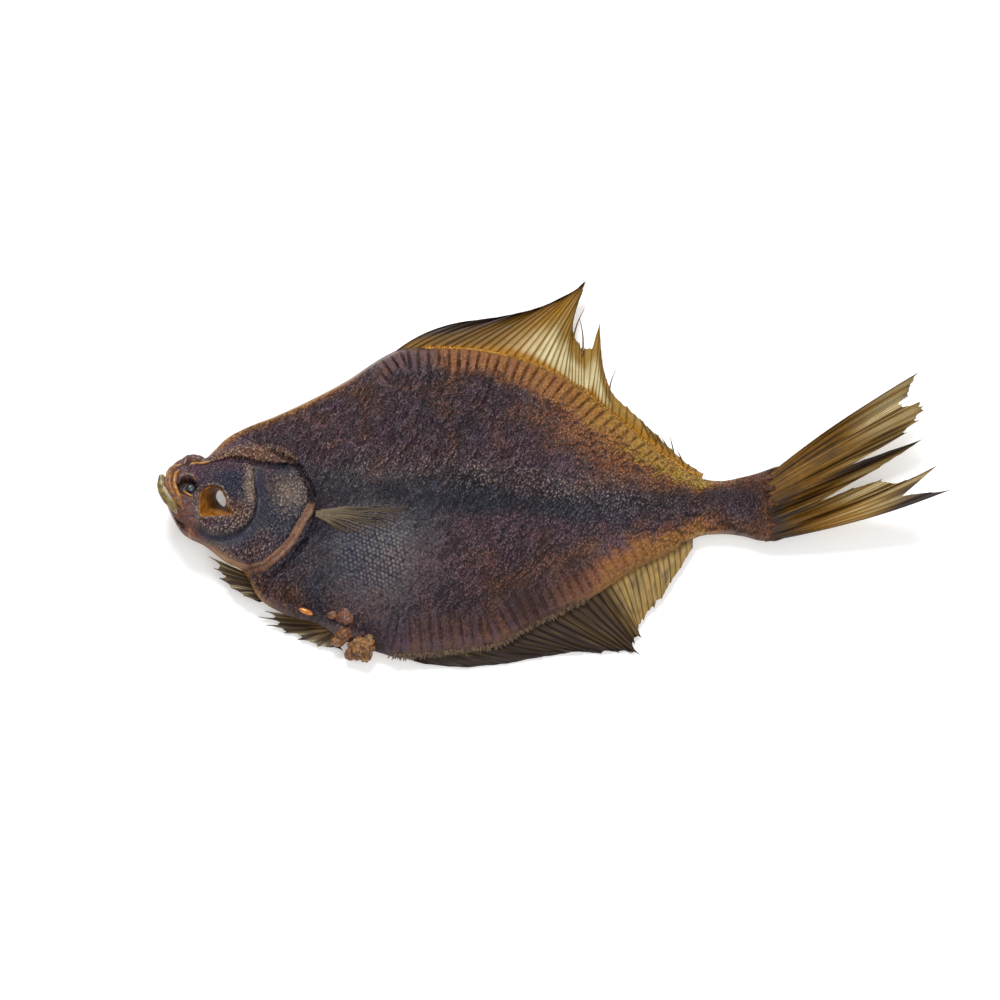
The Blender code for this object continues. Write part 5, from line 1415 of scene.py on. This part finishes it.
class FLOUNDER_OT_roe(bpy.types.Operator):
    """Builds the crusty lumps of roe at the vent and the clear drop of fat beside them"""

    bl_idname = "flounder.roe"
    bl_label = "Roe"

    def execute(self, context):
        settings = context.scene.flounder_roe
        crust = settings.crust / MM
        for k, (centre, size, warm) in enumerate(ROE):
            bumps = ((2.4, 0.24 * crust), (1.2, 0.14 * crust), (0.55, 0.06 * crust))
            grid, _ = ball(centre, size, 56, 80, bumps, 3 + 4 * k)
            grid[..., 2] = np.maximum(grid[..., 2], 0.3)
            first = np.array(settings.red) * (1 - warm) + np.array(settings.gold) * warm
            closed_tubes(f"roe_{k + 1}", grid[None], {}, horn_material(
                f"dried_roe_{k + 1}", tuple(first), linear("#4a2a18"), 1.1 * MM, 0.45, 0.3 * MM, coat=0.1))
        z = float(smooth_eyed(np.array(53.0), np.array(-45.3)))
        drop, _ = ball((53.0, -45.3, z), (2.7, 1.0, 0.8), 20, 36, ((1.5, 0.04),), 19)
        turn = math.radians(-24)
        flat = drop[..., :2] - np.array([53.0, -45.3])
        drop[..., 0] = 53.0 + flat[..., 0] * math.cos(turn) - flat[..., 1] * math.sin(turn)
        drop[..., 1] = -45.3 + flat[..., 0] * math.sin(turn) + flat[..., 1] * math.cos(turn)
        closed_tubes("fat_drop", drop[None], {}, horn_material(
            "clear_orange_fat", settings.drop, linear("#c77a18"), 1.5 * MM, 0.2, 0.05 * MM, coat=0.6))
        return {"FINISHED"}


class FLOUNDER_OT_fringe(bpy.types.Operator):
    """Builds the crusty fringes along the fin roots and the loose spines behind the back fin"""

    bl_idname = "flounder.fringe"
    bl_label = "Fringe"

    def execute(self, context):
        skin = context.scene.flounder_skin
        for name, rim, inward, start, end, count, size, hexes in (
                ("belly_fringe", BELLY_RIM, 1, 83.0, 152.0, 330, 1.15, ("#6b5238", "#3a2a22")),
                ("back_fringe", BACK_RIM, -1, 95.0, 190.0, 460, 0.95, ("#bd8722", "#85560f"))):
            pick = np.arange(count)
            x = start + (end - start) * (pick + scatter([pick], 91)) / count
            inset = 0.2 + 0.9 * scatter([pick], 92)
            y = through(rim, x) + inward * inset
            z = eyed_skin(x, y, skin)[0] - 0.1
            slope = (through(rim, x + 0.5) - through(rim, x - 0.5))
            out = np.stack([slope * inward, -inward + 0 * x], axis=-1)
            out /= np.linalg.norm(out, axis=-1, keepdims=True)
            lean = 0.9 * (scatter([pick], 93) - 0.5)
            long = size * (0.6 + 1.0 * scatter([pick], 94))
            wide = 0.22 + 0.22 * scatter([pick], 95)
            rows, around = 5, 6
            s = np.linspace(0, 1, rows)[None, :, None]
            angle = np.linspace(0, 2 * math.pi, around, endpoint=False)[None, None]
            taper = wide[:, None, None] * (1 - s) ** 0.6 + 0.05
            sx, sy = -out[:, 1][:, None, None], out[:, 0][:, None, None]
            ox = (out[:, 0] + lean)[:, None, None] * long[:, None, None] * s
            oy = out[:, 1][:, None, None] * long[:, None, None] * s
            grid = np.stack([x[:, None, None] + ox + sx * np.cos(angle) * taper,
                             y[:, None, None] + oy + sy * np.cos(angle) * taper,
                             z[:, None, None] + np.sin(angle) * taper + 0.25 * s * (1 - s)
                             - 0.5 * s**2 * size], axis=-1)
            closed_tubes(name, grid, {}, horn_material(f"crust_of_{name}", linear(hexes[0]), linear(hexes[1]),
                                                        1.2 * MM, 0.5, 0.15 * MM))
        return {"FINISHED"}


def bent_spines(settings, material):
    """Loose spines: thin tapering round strands, each a quadratic curve bent to one side."""
    rows = np.array(SPINES)
    s = np.linspace(0, 1, 14)
    way = rows[:, 2:4] - rows[:, :2]
    long = np.linalg.norm(way, axis=1)
    side = np.stack([-way[:, 1], way[:, 0]], axis=-1) / long[:, None]
    line = (rows[:, None, :2] + way[:, None] * s[None, :, None]
            + side[:, None] * (2 * s * (1 - s))[None, :, None] * rows[:, 4, None, None])
    angle = np.linspace(0, 2 * math.pi, 6, endpoint=False)
    wide = (settings.ray_width / MM * (1.15 - 0.9 * s))[None, :, None] + 0 * long[:, None, None]
    z = (MARGIN_HEIGHT + 0.4 + 0.16 * long)[:, None, None] * np.ones(len(s))[None, :, None]
    grid = np.stack([line[..., 0:1] + side[:, None, 0:1] * wide * np.cos(angle),
                     line[..., 1:2] + side[:, None, 1:2] * wide * np.cos(angle),
                     z + wide * np.sin(angle)], axis=-1)
    shade = np.broadcast_to((0.35 + 0.5 * s)[None, :, None], grid.shape[:3])
    closed_tubes("back_spines", grid, {"ray": 0.5 + 0 * shade, "pale": 0 * shade, "shade": shade, "warm": 0 * shade},
                 material)


class FLOUNDER_OT_stage(bpy.types.Operator):
    """Sets up the pale floor, the soft light and the camera"""

    bl_idname = "flounder.stage"
    bl_label = "Stage"

    def execute(self, context):
        settings, scene = context.scene.flounder_stage, context.scene
        half = settings.floor_size / 2
        side = np.linspace(-half, half, 9)
        gx, gy = np.meshgrid(side, side, indexing="ij")
        points = np.stack([gx, gy, 0 * gx], axis=-1).reshape(-1, 3)
        index = np.arange(81).reshape(9, 9)
        quads = np.stack([index[:-1, :-1], index[1:, :-1], index[1:, 1:], index[:-1, 1:]], axis=-1).reshape(-1, 4)
        mesh = bpy.data.meshes.new("floor")
        mesh.from_pydata(points.tolist(), [], quads.tolist())
        # Matt translucent sheet lit from below, so shadows on it stay faint, with a faint tooth.
        material, tree, shader = blank_material("lit_paper_floor", Roughness=0.9, Emission_Strength=settings.glow,
                                                Emission_Color=(1.0, 1.0, 1.0, 1.0))
        place = node(tree, "ShaderNodeTexCoord").outputs["Object"]
        tooth = node(tree, "ShaderNodeTexNoise", {"Vector": place, "Scale": 1 / (2 * MM)})
        pale = mixed(tree, tooth.outputs["Fac"], rgba(settings.floor), rgba(linear("#f7f7f7")))
        tree.links.new(pale, shader.inputs["Base Color"])
        mesh.materials.append(material)
        floor = bpy.data.objects.new("floor", mesh)
        scene.collection.objects.link(floor)

        world = bpy.data.worlds.new("studio")
        world.use_nodes = True
        world.node_tree.nodes["Background"].inputs["Color"].default_value = (1.0, 1.0, 1.0, 1.0)
        world.node_tree.nodes["Background"].inputs["Strength"].default_value = settings.sky
        scene.world = world
        target = Vector(to_row([PICTURE_MIDDLE])[0])
        for name, place, size, share in (("key_light", (-0.2, 0.72, 1.05), 0.45, 1.0),
                                         ("fill_light", (0.45, -0.7, 0.95), 0.9, 0.42)):
            data = bpy.data.lights.new(name, "AREA")
            data.shape, data.size, data.energy = "SQUARE", size, settings.key * share
            lamp = bpy.data.objects.new(name, data)
            lamp.location = place
            lamp.rotation_euler = (target - Vector(place)).to_track_quat("-Z", "Y").to_euler()
            scene.collection.objects.link(lamp)

        data = bpy.data.cameras.new("camera")
        data.sensor_width = 36.0
        data.lens = data.sensor_width * settings.distance / (PHOTO_PIXEL * PICTURE_WIDTH * MM)
        data.clip_end = 20.0
        camera = bpy.data.objects.new("camera", data)
        way = Vector((0, -math.cos(settings.elevation), math.sin(settings.elevation)))
        camera.location = target + way * settings.distance
        camera.rotation_euler = (-way).to_track_quat("-Z", "Y").to_euler()
        scene.collection.objects.link(camera)
        scene.camera = camera
        scene.view_settings.view_transform = "Standard"
        return {"FINISHED"}


OPERATORS = (
    FLOUNDER_OT_eyed_skin, FLOUNDER_OT_blind_skin, FLOUNDER_OT_long_fins, FLOUNDER_OT_tail_fin,
    FLOUNDER_OT_small_fins, FLOUNDER_OT_head_parts, FLOUNDER_OT_roe, FLOUNDER_OT_fringe,
    FLOUNDER_OT_stage,
)
SETTINGS = {
    "flounder_skin": SkinSettings, "flounder_fins": FinSettings, "flounder_head": HeadSettings,
    "flounder_roe": RoeSettings, "flounder_stage": StageSettings,
}


class FLOUNDER_PT_panel(bpy.types.Panel):
    """Settings and steps of the flounder"""

    bl_idname = "FLOUNDER_PT_panel"
    bl_label = "Smoked flounder"
    bl_space_type = "VIEW_3D"
    bl_region_type = "UI"
    bl_category = "Flounder"

    def draw(self, context):
        for key, group in SETTINGS.items():
            box = self.layout.box()
            for field in group.__annotations__:
                box.prop(getattr(context.scene, key), field)
        for operator in OPERATORS:
            self.layout.operator(operator.bl_idname)


def register():
    for group in SETTINGS.values():
        bpy.utils.register_class(group)
    for key, group in SETTINGS.items():
        setattr(bpy.types.Scene, key, bpy.props.PointerProperty(type=group))
    for part in (*OPERATORS, FLOUNDER_PT_panel):
        bpy.utils.register_class(part)


def unregister():
    for part in (FLOUNDER_PT_panel, *reversed(OPERATORS)):
        bpy.utils.unregister_class(part)
    for key, group in SETTINGS.items():
        delattr(bpy.types.Scene, key)
        bpy.utils.unregister_class(group)


def main():
    register()
    for operator in OPERATORS:
        group, step = operator.bl_idname.split(".")
        getattr(getattr(bpy.ops, group), step)()


if __name__ == "__main__":
    main()
